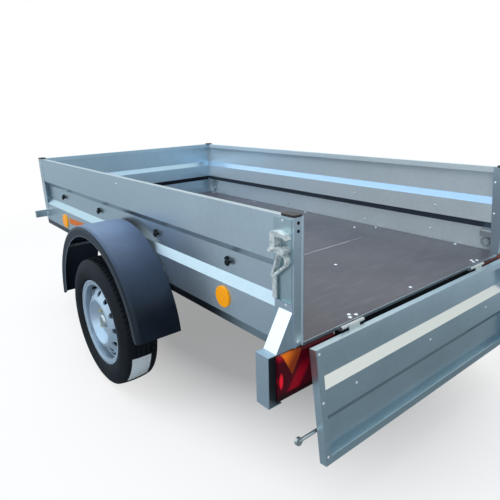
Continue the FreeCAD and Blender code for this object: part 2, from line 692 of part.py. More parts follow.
def axle():
    """Rubber torsion axle: square tube, two trailing arms and their stub axles."""
    half = "beam_side / 2"
    core = f"({half} - beam_wall)"
    centre_z = f"({BEAM_TOP} - {half})"
    tube = box((f"{BEAM_X} - {half}", f"{BEAM_X} + {half}"), ("-beam_half", "beam_half"),
               (f"{BEAM_TOP} - beam_side", BEAM_TOP))
    bore = box((f"{BEAM_X} - {core}", f"{BEAM_X} + {core}"),
               ("-beam_half - beam_wall", "beam_half + beam_wall"),
               (f"{centre_z} - {core}", f"{centre_z} + {core}"))
    piece(cut(tube, [bore]), "axle_tube")
    arm_y = "(beam_half + arm_gap)"
    shaft = cylinder(core, "shaft_seat + arm_gap + arm_thick / 2", BEAM_X, "beam_half - shaft_seat",
                     centre_z, "y")
    bosses = [
        cylinder("arm_boss", "arm_thick", BEAM_X, arm_y, centre_z, "y"),
        cylinder("arm_boss", "arm_thick", WHEEL_X, arm_y, "wheel_radius", "y"),
    ]
    drop = f"({centre_z} - wheel_radius)"
    span = f"sqrt(beam_ahead * beam_ahead + {drop} * {drop})"
    across = "0.8 * arm_boss"
    web = folded(
        "XZ_Plane",
        [("0", f"-{across}"), (span, f"-{across}"), (span, across), ("0", across)],
        "arm_thick",
    )
    turn(web, Vector(0, -1, 0), f"atan({drop} / beam_ahead)")
    place(web, WHEEL_X, f"{arm_y} + arm_thick", "wheel_radius")
    spindle = cylinder("spindle_radius", f"wheel_offset + disc_place + spindle_reach - {arm_y}",
                       WHEEL_X, arm_y, "wheel_radius", "y")
    pair(fuse([shaft, web, spindle] + bosses), "swing_arm")


def tyres():
    """Tyres with a bulging side and a flat crown."""
    half = "tyre_width / 2"
    rim = "rim_width / 2"
    one_side = [
        (f"{rim} - bead_place", "bead_radius"),
        (half, "rim_radius + side_bulge"),
        ("tread_width / 2", "wheel_radius - shoulder_drop"),
        ("tread_width / 4", "wheel_radius"),
    ]
    other_side = [(f"-({along})", radius) for along, radius in reversed(one_side)]
    tyre = turned(one_side + other_side)
    pair(place(tyre, WHEEL_X, "wheel_offset", "wheel_radius"), "tyre")


def rims():
    """Pressed steel wheels: a dropped-centre rim and a dished, vented disc."""
    edge = "(rim_width / 2)"
    seat = "bead_radius - seat_gap"
    under = "bead_radius - rim_wall - seat_gap"
    floor_at = "well_radius - rim_wall"
    points = [
        (f"-{edge}", "rim_radius"),
        (f"rim_wall - {edge}", "rim_radius"),
        (f"2 * rim_wall - {edge}", seat),
        ("-well_start - well_slope", seat),
        ("-well_start", "well_radius"),
        ("well_end", "well_radius"),
        ("well_end + well_slope", seat),
        (f"{edge} - 2 * rim_wall", seat),
        (f"{edge} - rim_wall", "rim_radius"),
        (edge, "rim_radius"),
        (edge, "rim_radius - 2 * rim_wall"),
        (f"{edge} - 1.5 * rim_wall", under),
        ("well_end + well_slope + rim_wall", under),
        ("well_end + rim_wall", floor_at),
        ("vent_plane - 3 * rim_wall", "vent_circle + vent_radius + rim_wall"),
        ("vent_plane", "vent_circle"),
        ("crest_plane - rim_wall", "crest_radius + 3 * rim_wall"),
        ("crest_plane", "crest_radius + rim_wall"),
        ("crest_plane", "crest_radius - rim_wall"),
        ("disc_place + rim_wall", "cup_radius"),
        ("disc_place + rim_wall", "centre_radius"),
        ("disc_place", "centre_radius"),
        ("disc_place", "cup_radius + rim_wall"),
        ("crest_plane - rim_wall", "crest_radius"),
        ("vent_plane - rim_wall", "vent_circle - rim_wall"),
        ("vent_plane - 5 * rim_wall", "vent_circle + vent_radius + rim_wall"),
        ("well_end - rim_wall", floor_at),
        ("-well_start", floor_at),
        ("-well_start - well_slope", under),
        (f"1.5 * rim_wall - {edge}", under),
        (f"-{edge}", "rim_radius - 2 * rim_wall"),
    ]
    rim = turned(points)
    vent = circle_sketch(rim, "XZ_Plane", "0", "vent_circle", "vent_radius", "vent")
    doc.recompute()
    pocket = rim.newObject("PartDesign::Pocket", "vent_cut")
    pocket.Profile = vent
    pocket.Type = "ThroughAll"
    pocket.Midplane = True
    ring = rim.newObject("PartDesign::PolarPattern", "vent_ring")
    ring.Originals = [pocket]
    ring.Axis = (rim.Origin.OriginFeatures[1], [""])
    bind(ring, Occurrences="vent_count")
    rim.Tip = ring
    pair(place(rim, WHEEL_X, "wheel_offset", "wheel_radius"), "rim")


def hubs():
    """Hubs that turn on the stub axles, each closed by its cap."""
    bore = "spindle_radius + spindle_fit"
    face = "disc_place"
    hub = turned([
        (f"{face} - hub_back", bore),
        (f"{face} - hub_back", "hub_barrel"),
        (f"{face} - hub_thick", "hub_barrel"),
        (f"{face} - hub_thick", "hub_radius"),
        (face, "hub_radius"),
        (face, "centre_radius - seat_gap"),
        (f"{face} + hub_nose - nose_cone", "centre_radius - seat_gap"),
        (f"{face} + hub_nose", "centre_radius - nose_cone"),
        (f"{face} + hub_nose", "0"),
        (f"{face} + spindle_reach + rim_wall", "0"),
        (f"{face} + spindle_reach + rim_wall", bore),
    ])
    pair(place(hub, WHEEL_X, "wheel_offset", "wheel_radius"), "hub")


def lip_corner(way):
    """What is cut from the lip's corner at one end of a mudguard's sweep."""
    lip = "(guard_radius - guard_lip)"
    centre = f"({lip} + guard_corner - guard_corner ^ 2 / (2 * {lip}))"
    ends = ("-guard_wall", "guard_corner") if way > 0 else ("-guard_corner", "guard_wall")
    side = f"{GUARD_OUTER} - guard_tuck - 2 * guard_wall"
    length = "guard_tuck + 3 * guard_wall"
    block = box(ends, (side, f"{side} + {length}"), (f"{lip} - guard_wall", centre))
    round_off = cylinder("guard_corner + guard_wall / 8", length, f"{way} * guard_corner", side, centre, "y")
    corner = cut(block, [round_off])
    return corner if way > 0 else turn(corner, Vector(0, 1, 0), "guard_sweep")


def mudguards():
    """Moulded half-round mudguards with a rounded crease and a turned-down lip."""
    rise = "0.3 * guard_round"
    lip = "guard_radius - guard_lip"
    guard = turned(
        [
            ("guard_inner", GUARD_INSIDE),
            ("guard_inner", "guard_radius"),
            (f"{GUARD_OUTER} - guard_round", "guard_radius"),
            (f"{GUARD_OUTER} - {rise}", f"guard_radius - {rise}"),
            (GUARD_OUTER, "guard_radius - guard_round"),
            (f"{GUARD_OUTER} - guard_tuck", lip),
            (f"{GUARD_OUTER} - guard_tuck - guard_wall", lip),
            (f"{GUARD_OUTER} - guard_wall", "guard_radius - guard_round"),
            (f"{GUARD_OUTER} - guard_round", GUARD_INSIDE),
        ],
        "guard_sweep",
    )
    guard = cut(guard, [lip_corner(1), lip_corner(-1)])
    turn(guard, Vector(0, 1, 0), "90 - guard_sweep - guard_tilt")
    pair(place(guard, GUARD_X, "0", "guard_centre_height"), "mudguard")


def mudguard_stays():
    """Round bars under the mudguards, each from a foot on the side wall."""
    reach = f"({GUARD_INSIDE} - stay_radius)"
    height = f"(guard_centre_height + sqrt({reach} * {reach} - stay_spread * stay_spread))"
    stays = []
    for side in ("-", "+"):
        middle = f"({GUARD_X} {side} stay_spread)"
        foot = box((f"{middle} - stay_width / 2", f"{middle} + stay_width / 2"), (HALF, "guard_inner"),
                   (f"{height} - stay_drop", height))
        bar = cylinder("stay_radius", f"{GUARD_OUTER} - guard_round - {HALF}", middle, HALF, height, "y")
        stay = fuse([foot, bar])
        stays += [stay, mirror(stay)]
    piece(group(stays), "mudguard_stays")


def lamps():
    """Rear lamps below the bed, each a rounded housing with a bevelled lens."""
    half = "(lens_thick / 2)"
    low, high = "floor_top - lamp_bottom", "floor_top - lamp_top"
    housing = folded(
        "YZ_Plane",
        [(LAMP_INNER, low), ("lamp_outer", low), ("lamp_outer", high), (LAMP_INNER, high)],
        f"lamp_depth - {half}",
    )
    rounded(housing, "lamp_round", level)
    pair(place(housing, f"bed_rear + {half}"), "lamp_housing")
    foot = f"{low} + lens_inset"
    lens = folded(
        "XZ_Plane",
        [
            (f"bed_rear + {half}", foot),
            (f"bed_rear + {half}", high),
            ("bed_rear", high),
            (f"bed_rear - {half}", f"{high} - lens_bulge"),
            (f"bed_rear - {half}", f"{foot} + lens_bulge"),
            ("bed_rear", foot),
        ],
        f"lamp_outer - lens_margin - {LAMP_INNER} - lens_inset",
    )
    place(lens, "0", "lamp_outer - lens_margin")
    piece(group([lens, mirror(lens)]), "lamp_lenses")


def lamp_bar():
    """Bent bar that closes the gap between the lamps, under the hinges."""
    top = f"{LEAF_TOP} - leaf_thick"
    section = bent(
        [
            ("bed_rear + bar_depth", top, 0, -1),
            ("bed_rear", top, 1, -1),
            ("bed_rear", f"{top} - bar_height", 1, 1),
            ("bed_rear + bar_depth / 2", f"{top} - bar_height", 0, 1),
        ],
        "bar_sheet",
    )
    piece(folded("XZ_Plane", section, f"2 * {LAMP_INNER}", centred=True), "lamp_bar")


def lamp_guards():
    """Bent strips outside the lamps, each with a gusset to its rear post."""
    face = f"{HALF} + sheet"
    strip = bent(
        [
            (f"{face} + strap_thick", "strap_high", -1, 0),
            (f"{face} + strap_thick", "strap_bend", -1, -1),
            ("strap_reach", "-strap_shoulder", -1, -1),
            ("strap_outer", "-strap_shoulder", -1, -1),
            ("strap_outer", "-strap_bottom", -1, 1),
            ("strap_outer - strap_lip", "-strap_bottom", 0, 1),
        ],
        "strap_thick",
    )
    strap = place(folded("YZ_Plane", strip, "strap_width"), "bed_rear", "0", "floor_top")
    plate = folded(
        "YZ_Plane",
        [
            (face, "-post_foot"),
            ("strap_reach - strap_thick", "-post_foot"),
            (f"{face} + strap_thick / 2", "strap_bend - strap_thick"),
            (face, "strap_bend"),
        ],
        "strap_thick",
    )
    place(plate, "bed_rear", "0", "floor_top")
    pair(fuse([strap, plate]), "lamp_guard")


def hinges():
    """Fixed leaves with their pins on the sill, and moving leaves for the tailgate."""
    pin_x, pin_z = "(bed_rear - pin_back)", "(floor_top - pin_drop)"
    fixed, moving = [], []
    for side in ("", "-"):
        middle = f"({side}hinge_place)"
        low, high = f"{middle} - hinge_width / 2", f"{middle} + hinge_width / 2"
        start, end = f"{middle} - knuckle_width / 2", f"{middle} + knuckle_width / 2"
        shapes = [
            box((f"{pin_x} + pin_radius + pin_fit", "bed_rear + leaf_depth"), (low, high),
                (f"{LEAF_TOP} - leaf_thick", LEAF_TOP)),
            cylinder("pin_radius", "hinge_width", pin_x, low, pin_z, "y"),
        ]
        for first, last in ((low, f"{start} - knuckle_gap"), (f"{end} + knuckle_gap", high)):
            shapes.append(cylinder("knuckle_radius", f"({last}) - ({first})", pin_x, first, pin_z, "y"))
            shapes.append(box((pin_x, "bed_rear - sheet - knuckle_play"), (first, last),
                              (f"{LEAF_TOP} - leaf_thick", pin_z)))
        fixed.append(fuse(shapes))
        knuckle = cylinder("knuckle_radius", "knuckle_width", "0", start, "0", "y")
        link = box(("0", "gate_out"), (start, end), ("0", "knuckle_radius"))
        leaf = box(("gate_out - leaf_thick", "gate_out"), (start, end), ("0", "leaf_height"))
        bore = cylinder("pin_radius + pin_fit", "knuckle_width", "0", start, "0", "y")
        moving.append(cut(fuse([knuckle, link, leaf]), [bore]))
    piece(group(fixed), "hinge_fixed_leaves")
    hang(group(moving), "hinge_moving_leaves")


def hang(item, label):
    """Turn a piece of the closed tailgate down about the hinge pins."""
    turn(item, Vector(0, -1, 0), "gate_hang")
    piece(place(item, "bed_rear - pin_back", "0", "floor_top - pin_drop"), label)


def tailgate():
    """Ribbed tailgate panel with end channels, and the rods that its latches hold."""
    inner_x = "gate_out + gate_thick"
    top = "gate_up + gate_height"
    fold = [
        (inner_x, "gate_up + gate_foot", -1, 0),
        (inner_x, "gate_up", -1, 1),
        ("gate_out", "gate_up", 1, 1),
        ("gate_out", "gate_up + gate_rib_low", 1, 0),
        ("gate_out + gate_rib", "gate_up + gate_rib_lower", 1, 0),
        ("gate_out + gate_rib", "gate_up + gate_rib_upper", 1, 0),
        ("gate_out", "gate_up + gate_rib_high", 1, 0),
        ("gate_out", top, 1, -1),
        (inner_x, top, -1, -1),
        (inner_x, f"{top} - hem_drop", -1, 0),
    ]
    panel = folded("XZ_Plane", bent(fold), "2 * (gate_half - sheet)", centred=True)
    channel = folded(
        "XY_Plane",
        bent([
            ("gate_out", "gate_half - gate_end", 1, 0),
            ("gate_out", "gate_half", 1, -1),
            (inner_x, "gate_half", -1, -1),
            (inner_x, "gate_half - gate_end", -1, 0),
        ]),
        "gate_height",
    )
    place(channel, "0", "0", "gate_up")
    hang(fuse([panel, channel, mirror(channel)]), "tailgate_panel")
    saddle = box(("-rod_radius", "gate_out"),
                 ("rod_saddle - saddle_width / 2", "rod_saddle + saddle_width / 2"),
                 ("rod_height - saddle_height / 2", "rod_height + saddle_height / 2"))
    rod = fuse([
        saddle,
        cylinder("rod_radius", "rod_outer - rod_inner", "0", "rod_inner", "rod_height", "y"),
        cylinder("rod_eye", "eye_thick", "-eye_thick / 2", "rod_outer", "rod_height", "x"),
    ])
    hang(group([rod, mirror(rod)]), "tailgate_rods")


def latch_loop():
    """Teardrop loop of strip, upright, about the centre of its round end."""
    shapes = []
    for radius, tip, length in (
        ("loop_radius", "loop_bar", "loop_length"),
        ("(loop_radius - loop_bar)", "0.2 * loop_bar", "(loop_length - 3 * loop_bar)"),
    ):
        corners = [(f"-{radius}", "0"), (f"-{tip}", f"-{length}"), (tip, f"-{length}"), (radius, "0")]
        tail = place(folded("XZ_Plane", corners, "loop_width"), "0", "loop_width")
        shapes.append(fuse([cylinder(radius, "loop_width", "0", "0", "0", "y"), tail]))
    return cut(shapes[0], [shapes[1]])


def latches():
    """Toggle latches on the rear posts: a claw with two jaws, a teardrop loop and its handle."""
    post = f"({HALF} + sheet)"
    width = ("bed_rear + latch_back", "bed_rear + latch_back + latch_width")
    plate = box(width, (post, f"{post} + latch_thick"),
                ("floor_top + latch_foot", "floor_top + latch_top"))
    lip = box(width, (post, f"{post} + latch_lip"),
              ("floor_top + latch_foot", "floor_top + latch_foot + latch_thick"))
    plate = fuse([plate, lip])
    piece(group([plate, mirror(plate)]), "latch_plates")
    face = f"({post} + latch_thick)"
    back = "(bed_rear + claw_back)"
    jaws = [
        (1, 0.07), (1, 0.93), (0.55, 1), (0.07, 0.9), (-0.07, 0.69), (0.15, 0.78),
        (0.67, 0.74), (0.67, 0.26), (0.15, 0.33), (-0.07, 0.26), (0.07, 0.05), (0.55, 0),
    ]
    claw = folded("XZ_Plane", scaled(back, "claw_length", "floor_top + claw_foot", "claw_height", jaws),
                  "claw_reach")
    place(claw, "0", f"{face} + claw_reach")
    pivot = cylinder("pivot_radius", "claw_reach + pivot_reach", f"{back} + 0.85 * claw_length", face,
                     "floor_top + claw_foot + 0.13 * claw_height", "y")
    eye_x = f"({back} + loop_place)"
    eye_z = "(floor_top + claw_foot - loop_radius + loop_sink)"
    loop = latch_loop()
    turn(loop, Vector(0, -1, 0), "loop_lean")
    place(loop, eye_x, f"{face} + loop_out", eye_z)
    tip_x = f"({eye_x} + loop_length * sin(loop_lean * 1deg))"
    tip_z = f"({eye_z} - loop_length * cos(loop_lean * 1deg))"
    round_end = "handle_width / 2"
    strip_y = f"({face} + loop_out)"
    handle = [
        box((f"{tip_x} - {round_end}", f"{tip_x} + {round_end}"), (strip_y, f"{strip_y} + handle_thick"),
            (f"{tip_z} - handle_length", tip_z)),
        cylinder(round_end, "handle_thick", tip_x, strip_y, tip_z, "y"),
        cylinder(round_end, "handle_thick", tip_x, strip_y, f"{tip_z} - handle_length", "y"),
    ]
    pair(fuse([claw, pivot, loop] + handle), "latch")


def rope_hooks():
    """Round rope hooks in the ribs of the side walls."""
    hooks = []
    for spot in ("bed_rear + hook_first", "bed_rear + hook_second",
                 f"{BED_FRONT} - hook_third", f"{BED_FRONT} - hook_fourth"):
        hook = turned([
            ("0", "0"),
            ("0", "hook_stem"),
            ("0.6 * hook_reach", "hook_stem"),
            ("0.6 * hook_reach", "hook_radius"),
            ("hook_reach - hook_bevel", "hook_radius"),
            ("hook_reach", "hook_radius - hook_bevel"),
            ("hook_reach", "0"),
        ])
        place(hook, spot, f"{HALF} - rib_depth", "floor_top + hook_height")
        hooks += [hook, mirror(hook)]
    piece(group(hooks), "rope_hooks")


def side_reflectors():
    """Round reflectors on the lower planes of the side walls."""
    discs = []
    for spot in ("bed_rear + reflector_rear", f"{BED_FRONT} - reflector_front"):
        disc = cylinder("reflector_radius", "reflector_thick", spot, HALF,
                        "floor_top + reflector_height", "y")
        discs += [disc, mirror(disc)]
    piece(group(discs), "side_reflectors")


def tie_down_rings():
    """Rings inside the side walls, each under the hood of its folded bracket."""
    face = f"({HALF} - sheet)"
    wire = "ring_wire"
    slope = "0.58 * ring_wire"
    hood = bent(
        [
            ("0", "ring_hood_top + ring_flange", -1, 0),
            ("0", "ring_hood_top", -1, -1),
            ("-ring_hood", "ring_hood_top - ring_flange / 2", 1, -1),
            ("-ring_hood", "ring_hood_foot", 1, 0),
        ],
        "ring_plate",
    )
    rings = []
    for spot in ("(bed_rear + ring_rear)", f"({BED_FRONT} - ring_front)"):
        ring_y = f"({face} - ring_hood / 2)"
        ring = turned([
            (f"-{wire}", f"ring_radius - {slope}"),
            (f"-{wire}", f"ring_radius + {slope}"),
            ("0", f"ring_radius + 1.15 * {wire}"),
            (wire, f"ring_radius + {slope}"),
            (wire, f"ring_radius - {slope}"),
            ("0", f"ring_radius - 1.15 * {wire}"),
        ])
        place(ring, spot, ring_y, "floor_top + ring_height")
        bracket = folded("YZ_Plane", hood, "ring_bracket")
        place(bracket, f"{spot} - ring_bracket / 2", face, "floor_top")
        lug = box((f"{spot} - ring_lug / 2", f"{spot} + ring_lug / 2"),
                  (f"{face} - ring_hood", face),
                  ("floor_top + ring_height + ring_radius", "floor_top + ring_hood_foot + ring_plate"))
        item = fuse([ring, bracket, lug])
        rings += [item, mirror(item)]
    piece(group(rings), "tie_down_rings")


def markers():
    """Front marker lamps on brackets that stand out beside the bed."""
    face = f"{BED_FRONT} + sheet"
    foot = "floor_top + marker_height - marker_size / 2"
    z_range = (foot, f"{foot} + marker_size")
    bracket = box((face, f"{face} + marker_plate"),
                  (f"{HALF} - marker_foot", f"{HALF} + marker_reach"), z_range)
    back = f"{face} + marker_plate"
    front = f"{back} + marker_depth"
    inner, outer = f"{HALF} + marker_start", f"{HALF} + marker_reach"
    lens = folded(
        "XY_Plane",
        [
            (back, inner),
            (f"{front} - marker_bevel", inner),
            (front, f"{inner} + marker_bevel"),
            (front, f"{outer} - marker_bevel"),
            (f"{front} - marker_bevel", outer),
            (back, outer),
        ],
        "marker_size",
    )
    place(lens, "0", "0", foot)
    piece(group([bracket, mirror(bracket)]), "marker_brackets")
    piece(group([lens, mirror(lens)]), "marker_lenses")


def coupling():
    """Pressed coupling head, open below, with a ball socket, a mounting plate and a lever."""
    half = "(drawbar_nose - drawbar_width / 2)"
    flat = f"({BALL_Z} + socket_depth / 2 + head_wall)"
    foot = f"({BALL_Z} - socket_depth / 2)"

    def side_view(wall):
        """Side outline of the head, or of the hollow under it for a wall."""
        return [
            (f"{NOSE} - head_back - {wall}", f"{MEMBER_FOOT} - drawbar_height - {wall}"),
            (f"{NOSE} - head_back - {wall}", f"{MEMBER_FOOT} - {wall}"),
            (f"{BALL_X} - head_slope", f"{MEMBER_FOOT} - {wall}"),
            (f"{BALL_X} - head_flat", f"{flat} - {wall}"),
            (f"{BALL_X} - {wall} * 6", f"{flat} - {wall}"),
            (f"{BALL_X} - {wall} * 6", f"{foot} - {wall}"),
        ]

    shell = folded("XZ_Plane", side_view("0"), f"2 * {half}", centred=True)
    hollow = folded("XZ_Plane", side_view("head_wall"), f"2 * ({half} - head_wall)", centred=True)
    cup = cylinder("socket_radius + head_wall", "socket_depth + head_wall", BALL_X, "0", foot)
    socket = cylinder("socket_radius", "socket_depth", BALL_X, "0", foot)
    piece(cut(fuse([cut(shell, [hollow]), cup]), [socket]), "coupling_head")
    reach = "(drawbar_nose + drawbar_width / 2)"
    plate = box((f"{NOSE} - head_back", f"{NOSE} + plate_ahead"), (f"-{reach}", reach),
                (MEMBER_FOOT, f"{MEMBER_FOOT} + plate_thick"))
    piece(plate, "coupling_plate")
    grip = [
        (1, 0), (0.97, 0.3), (0.72, 0.42), (0.36, 0.78), (0.06, 1), (0, 0.86),
        (0.3, 0.56), (0.62, 0.2), (0.66, 0),
    ]
    lever = folded(
        "XZ_Plane",
        scaled(f"({BALL_X} + lever_ahead - lever_length)", "lever_length", flat, "lever_height", grip),
        "lever_width",
        centred=True,
    )
    piece(lever, "coupling_lever")


def jockey_tubes(x, y):
    """Outer tube with two collars, inner tube closed at its foot, and the crank on top."""
    length = "(jack_top - jack_foot)"
    collars = [
        cylinder("jack_radius + jack_collar", "collar_height", x, y, height)
        for height in ("jack_foot", "jack_top - collar_height")
    ]
    tube = cut(
        fuse([cylinder("jack_radius", length, x, y, "jack_foot")] + collars),
        [cylinder("jack_radius - jack_wall", f"{length} - jack_wall", x, y, "jack_foot")],
    )
    piece(tube, "jockey_outer_tube")
    radius = "(jack_radius - jack_wall - jack_fit)"
    stem = cut(
        cylinder(radius, "jack_top - stem_room - swivel_height", x, y, "swivel_height"),
        [cylinder(f"{radius} - jack_wall", "jack_top - stem_room - swivel_height", x, y,
                  "swivel_height + stem_foot")],
    )
    piece(stem, "jockey_inner_tube")
    crank = fuse([
        cylinder("crank_hub", "crank_rise + crank_hub", x, y, "jack_top"),
        cylinder("crank_radius", "crank_arm + crank_radius", x, y, "jack_top + crank_rise", "y"),
        cylinder("grip_radius", "grip_length", x, f"{y} + crank_arm",
                 "jack_top + crank_rise - crank_hub"),
    ])
    piece(crank, "jockey_crank")


def jockey_clamp(side):
    """Clamp round the outer tube, bolted to the left drawbar tube."""
    shell = cylinder("jack_radius + clamp_wall", "drawbar_height", "-jockey_back", side,
                     "-drawbar_height")
    pad = box(("-jockey_back - clamp_pad / 2", "-jockey_back + clamp_pad / 2"),
              ("drawbar_width / 2", "drawbar_width / 2 + clamp_wall + clamp_foot"),
              ("-drawbar_height", "0"))
    edge = f"({side} + jack_radius + clamp_wall / 2)"
    bolt = cylinder("clamp_bolt", "bolt_reach", "-jockey_back", edge, "-drawbar_height / 2", "y")
    bar = cylinder("bolt_bar", "bar_length", "-jockey_back - bar_length / 2", f"{edge} + bolt_reach",
                   "-drawbar_height / 2", "x")
    hole = cylinder("jack_radius", "drawbar_height + 2 * clamp_wall", "-jockey_back", side,
                    "-drawbar_height - clamp_wall")
    clamp = cut(fuse([shell, pad, bolt, bar]), [hole])
    turn(clamp, Vector(0, 0, -1), SPLAY)
    piece(place(clamp, NOSE, "drawbar_nose", MEMBER_FOOT), "jockey_clamp")


def jockey_fork(x, y, hub_x):
    """Fork with two legs, a crown under the inner tube and the wheel's axle."""
    half = "(jockey_width / 2)"
    top = "swivel_height - clearance"
    span = f"({half} + fork_gap + fork_thick)"
    legs = []
    for start in (f"{y} - {span}", f"{y} + {half} + fork_gap"):
        leg = folded(
            "XZ_Plane",
            [
                (f"{hub_x} - fork_boss", "jockey_radius"),
                (f"{hub_x} - fork_width / 2", top),
                (f"{x} + fork_width / 2", top),
                (f"{x} + fork_width / 2", f"{top} - 2 * fork_crown"),
                (f"{hub_x} + fork_boss", "jockey_radius"),
            ],
            "fork_thick",
        )
        legs.append(place(leg, "0", f"{start} + fork_thick"))
        legs.append(cylinder("fork_boss", "fork_thick", hub_x, start, "jockey_radius", "y"))
    crown = box((f"{hub_x} - fork_width / 2", f"{x} + fork_width / 2"),
                (f"{y} - {span}", f"{y} + {span}"), (f"{top} - fork_crown", top))
    axle_y = f"{y} - {span} - fork_thick"
    pin = cylinder("jockey_pin", f"2 * ({span} + fork_thick)", hub_x, axle_y, "jockey_radius", "y")
    piece(fuse(legs + [crown, pin]), "jockey_fork")


def jockey_wheel(y, hub_x):
    """Solid wheel with a hub, a thin web and a bevelled tread ring."""
    half = "(jockey_width / 2)"
    one_side = [
        (half, "jockey_bore"),
        (half, "jockey_hub"),
        (f"0.4 * {half}", "jockey_hub + web_slope"),
        (f"0.4 * {half}", "jockey_web - web_slope"),
        (half, "jockey_web"),
        (half, "jockey_radius - jockey_shoulder"),
        (f"0.5 * {half}", "jockey_radius"),
    ]
    other_side = [(f"-{along}", radius) for along, radius in reversed(one_side)]
    wheel = turned(one_side + other_side)
    piece(place(wheel, hub_x, y, "jockey_radius"), "jockey_wheel")


def jockey():
    """Jockey wheel beside the left drawbar tube, behind the coupling."""
    side = "(drawbar_width / 2 + clamp_wall + jack_radius)"
    x = f"({NOSE} - jockey_back * cos({SPLAY}) + {side} * sin({SPLAY}))"
    y = f"(drawbar_nose + jockey_back * sin({SPLAY}) + {side} * cos({SPLAY}))"
    hub_x = f"({x} - jockey_trail)"
    jockey_tubes(x, y)
    jockey_clamp(side)
    jockey_fork(x, y, hub_x)
    jockey_wheel(y, hub_x)


for build in (
    side_walls,
    front_wall,
    floor,
    posts,
    sill,
    cross_members,
    drawbar,
    axle,
    tyres,
    rims,
    hubs,
    mudguards,
    mudguard_stays,
    lamps,
    lamp_bar,
    lamp_guards,
    hinges,
    tailgate,
    latches,
    rope_hooks,
    side_reflectors,
    tie_down_rings,
    markers,
    coupling,
    jockey,
):
    build()

doc.recompute()
failed = [
    item.Label for item in doc.Objects
    if "Invalid" in item.State or "Error" in item.State
]
if failed:
    raise RuntimeError(f"not rebuilt: {failed}")
os.makedirs("parts", exist_ok=True)
for item in pieces:
    if item.Shape.isNull() or not item.Shape.isValid():
        raise RuntimeError(f"bad shape: {item.Label}")
for item in pieces:
    item.Shape.exportStep(f"parts/{item.Label}.step")
whole = FreeCAD.BoundBox()
for item in pieces:
    whole.add(item.Shape.BoundBox)
print(len(pieces), "pieces", whole)
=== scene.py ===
"""Looks of a utility trailer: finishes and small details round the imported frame."""

from __future__ import annotations

import json
import logging
import math
from collections.abc import Sequence
from dataclasses import dataclass, field
from enum import Enum

import bmesh
import bpy
from mathutils import Matrix, Vector


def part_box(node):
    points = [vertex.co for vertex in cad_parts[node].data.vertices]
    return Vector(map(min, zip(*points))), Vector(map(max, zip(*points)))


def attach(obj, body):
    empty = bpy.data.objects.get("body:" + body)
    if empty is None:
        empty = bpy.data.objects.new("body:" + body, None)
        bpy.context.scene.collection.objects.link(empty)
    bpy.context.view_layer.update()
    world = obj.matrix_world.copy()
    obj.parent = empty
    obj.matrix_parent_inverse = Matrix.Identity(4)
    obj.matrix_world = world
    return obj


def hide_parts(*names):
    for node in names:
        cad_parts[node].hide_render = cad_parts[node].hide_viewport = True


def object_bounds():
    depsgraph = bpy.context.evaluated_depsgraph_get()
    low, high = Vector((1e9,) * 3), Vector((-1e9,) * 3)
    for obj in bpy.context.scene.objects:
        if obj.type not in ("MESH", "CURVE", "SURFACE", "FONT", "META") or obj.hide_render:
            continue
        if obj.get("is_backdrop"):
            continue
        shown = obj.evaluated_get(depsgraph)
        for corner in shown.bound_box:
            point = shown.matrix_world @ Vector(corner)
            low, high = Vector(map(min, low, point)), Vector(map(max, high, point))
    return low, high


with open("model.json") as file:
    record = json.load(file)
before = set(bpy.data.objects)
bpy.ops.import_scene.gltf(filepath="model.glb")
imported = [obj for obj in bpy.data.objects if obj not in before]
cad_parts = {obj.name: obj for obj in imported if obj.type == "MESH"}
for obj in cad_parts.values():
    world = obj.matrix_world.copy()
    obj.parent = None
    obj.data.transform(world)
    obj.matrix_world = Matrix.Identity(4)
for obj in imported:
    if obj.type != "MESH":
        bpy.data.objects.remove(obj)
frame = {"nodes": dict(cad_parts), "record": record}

LOG = logging.getLogger("trailer")
MM = 0.001
Colour = tuple[float, float, float]
Point = tuple[float, float, float]


class Side(Enum):
    """Left or right side of the trailer, as the sign of y."""

    LEFT = 1
    RIGHT = -1

    @property
    def word(self) -> str:
        """The side's name as the nodes use it."""
        return self.name.lower()


class Body(str, Enum):
    """Rigid bodies of the frame that pieces ride on."""

    CHASSIS = "chassis"
    TAILGATE = "tailgate"
    WHEEL_LEFT = "wheel_left"
    WHEEL_RIGHT = "wheel_right"


class Facing(Enum):
    """Way in which a fastener's head looks, on the trailer's left half."""

    OUT = (0.0, 1.0, 0.0)
    IN = (0.0, -1.0, 0.0)
    BACK = (-1.0, 0.0, 0.0)
    AHEAD = (1.0, 0.0, 0.0)
    UP = (0.0, 0.0, 1.0)
    DOWN = (0.0, 0.0, -1.0)


@dataclass(frozen=True)
class HeadForm:
    """Form of a fastener's head, in millimetres and shares of its radius.

    Attributes:
        radius: Radius of its foot.
        height: Height of the head.
        sides: Number of its sides.
        shoulder: Share of the radius at half its height.
        crown: Share of the radius at its top.
        washer: Radius of its washer, or 0 for none.
    """

    radius: float
    height: float
    sides: int = 12
    shoulder: float = 0.84
    crown: float = 0.42
    washer: float = 0.0


class Head(Enum):
    """Kinds of fastener on the trailer."""

    RIVET = HeadForm(4.6, 1.7)
    SMALL_RIVET = HeadForm(3.2, 1.1)
    FLOOR_BOLT = HeadForm(6.4, 2.2)
    SCREW = HeadForm(3.4, 1.5, 10, 0.95, 0.8)
    HEX_BOLT = HeadForm(7.6, 5.4, 6, 1.0, 0.88, 10.0)
    WHEEL_BOLT = HeadForm(9.6, 13.0, 6, 1.0, 0.82, 12.0)
    HOOK_FOOT = HeadForm(7.0, 9.0, 14, 0.92, 0.7)
    PLUG = HeadForm(4.8, 0.8, 16, 0.96, 0.9)


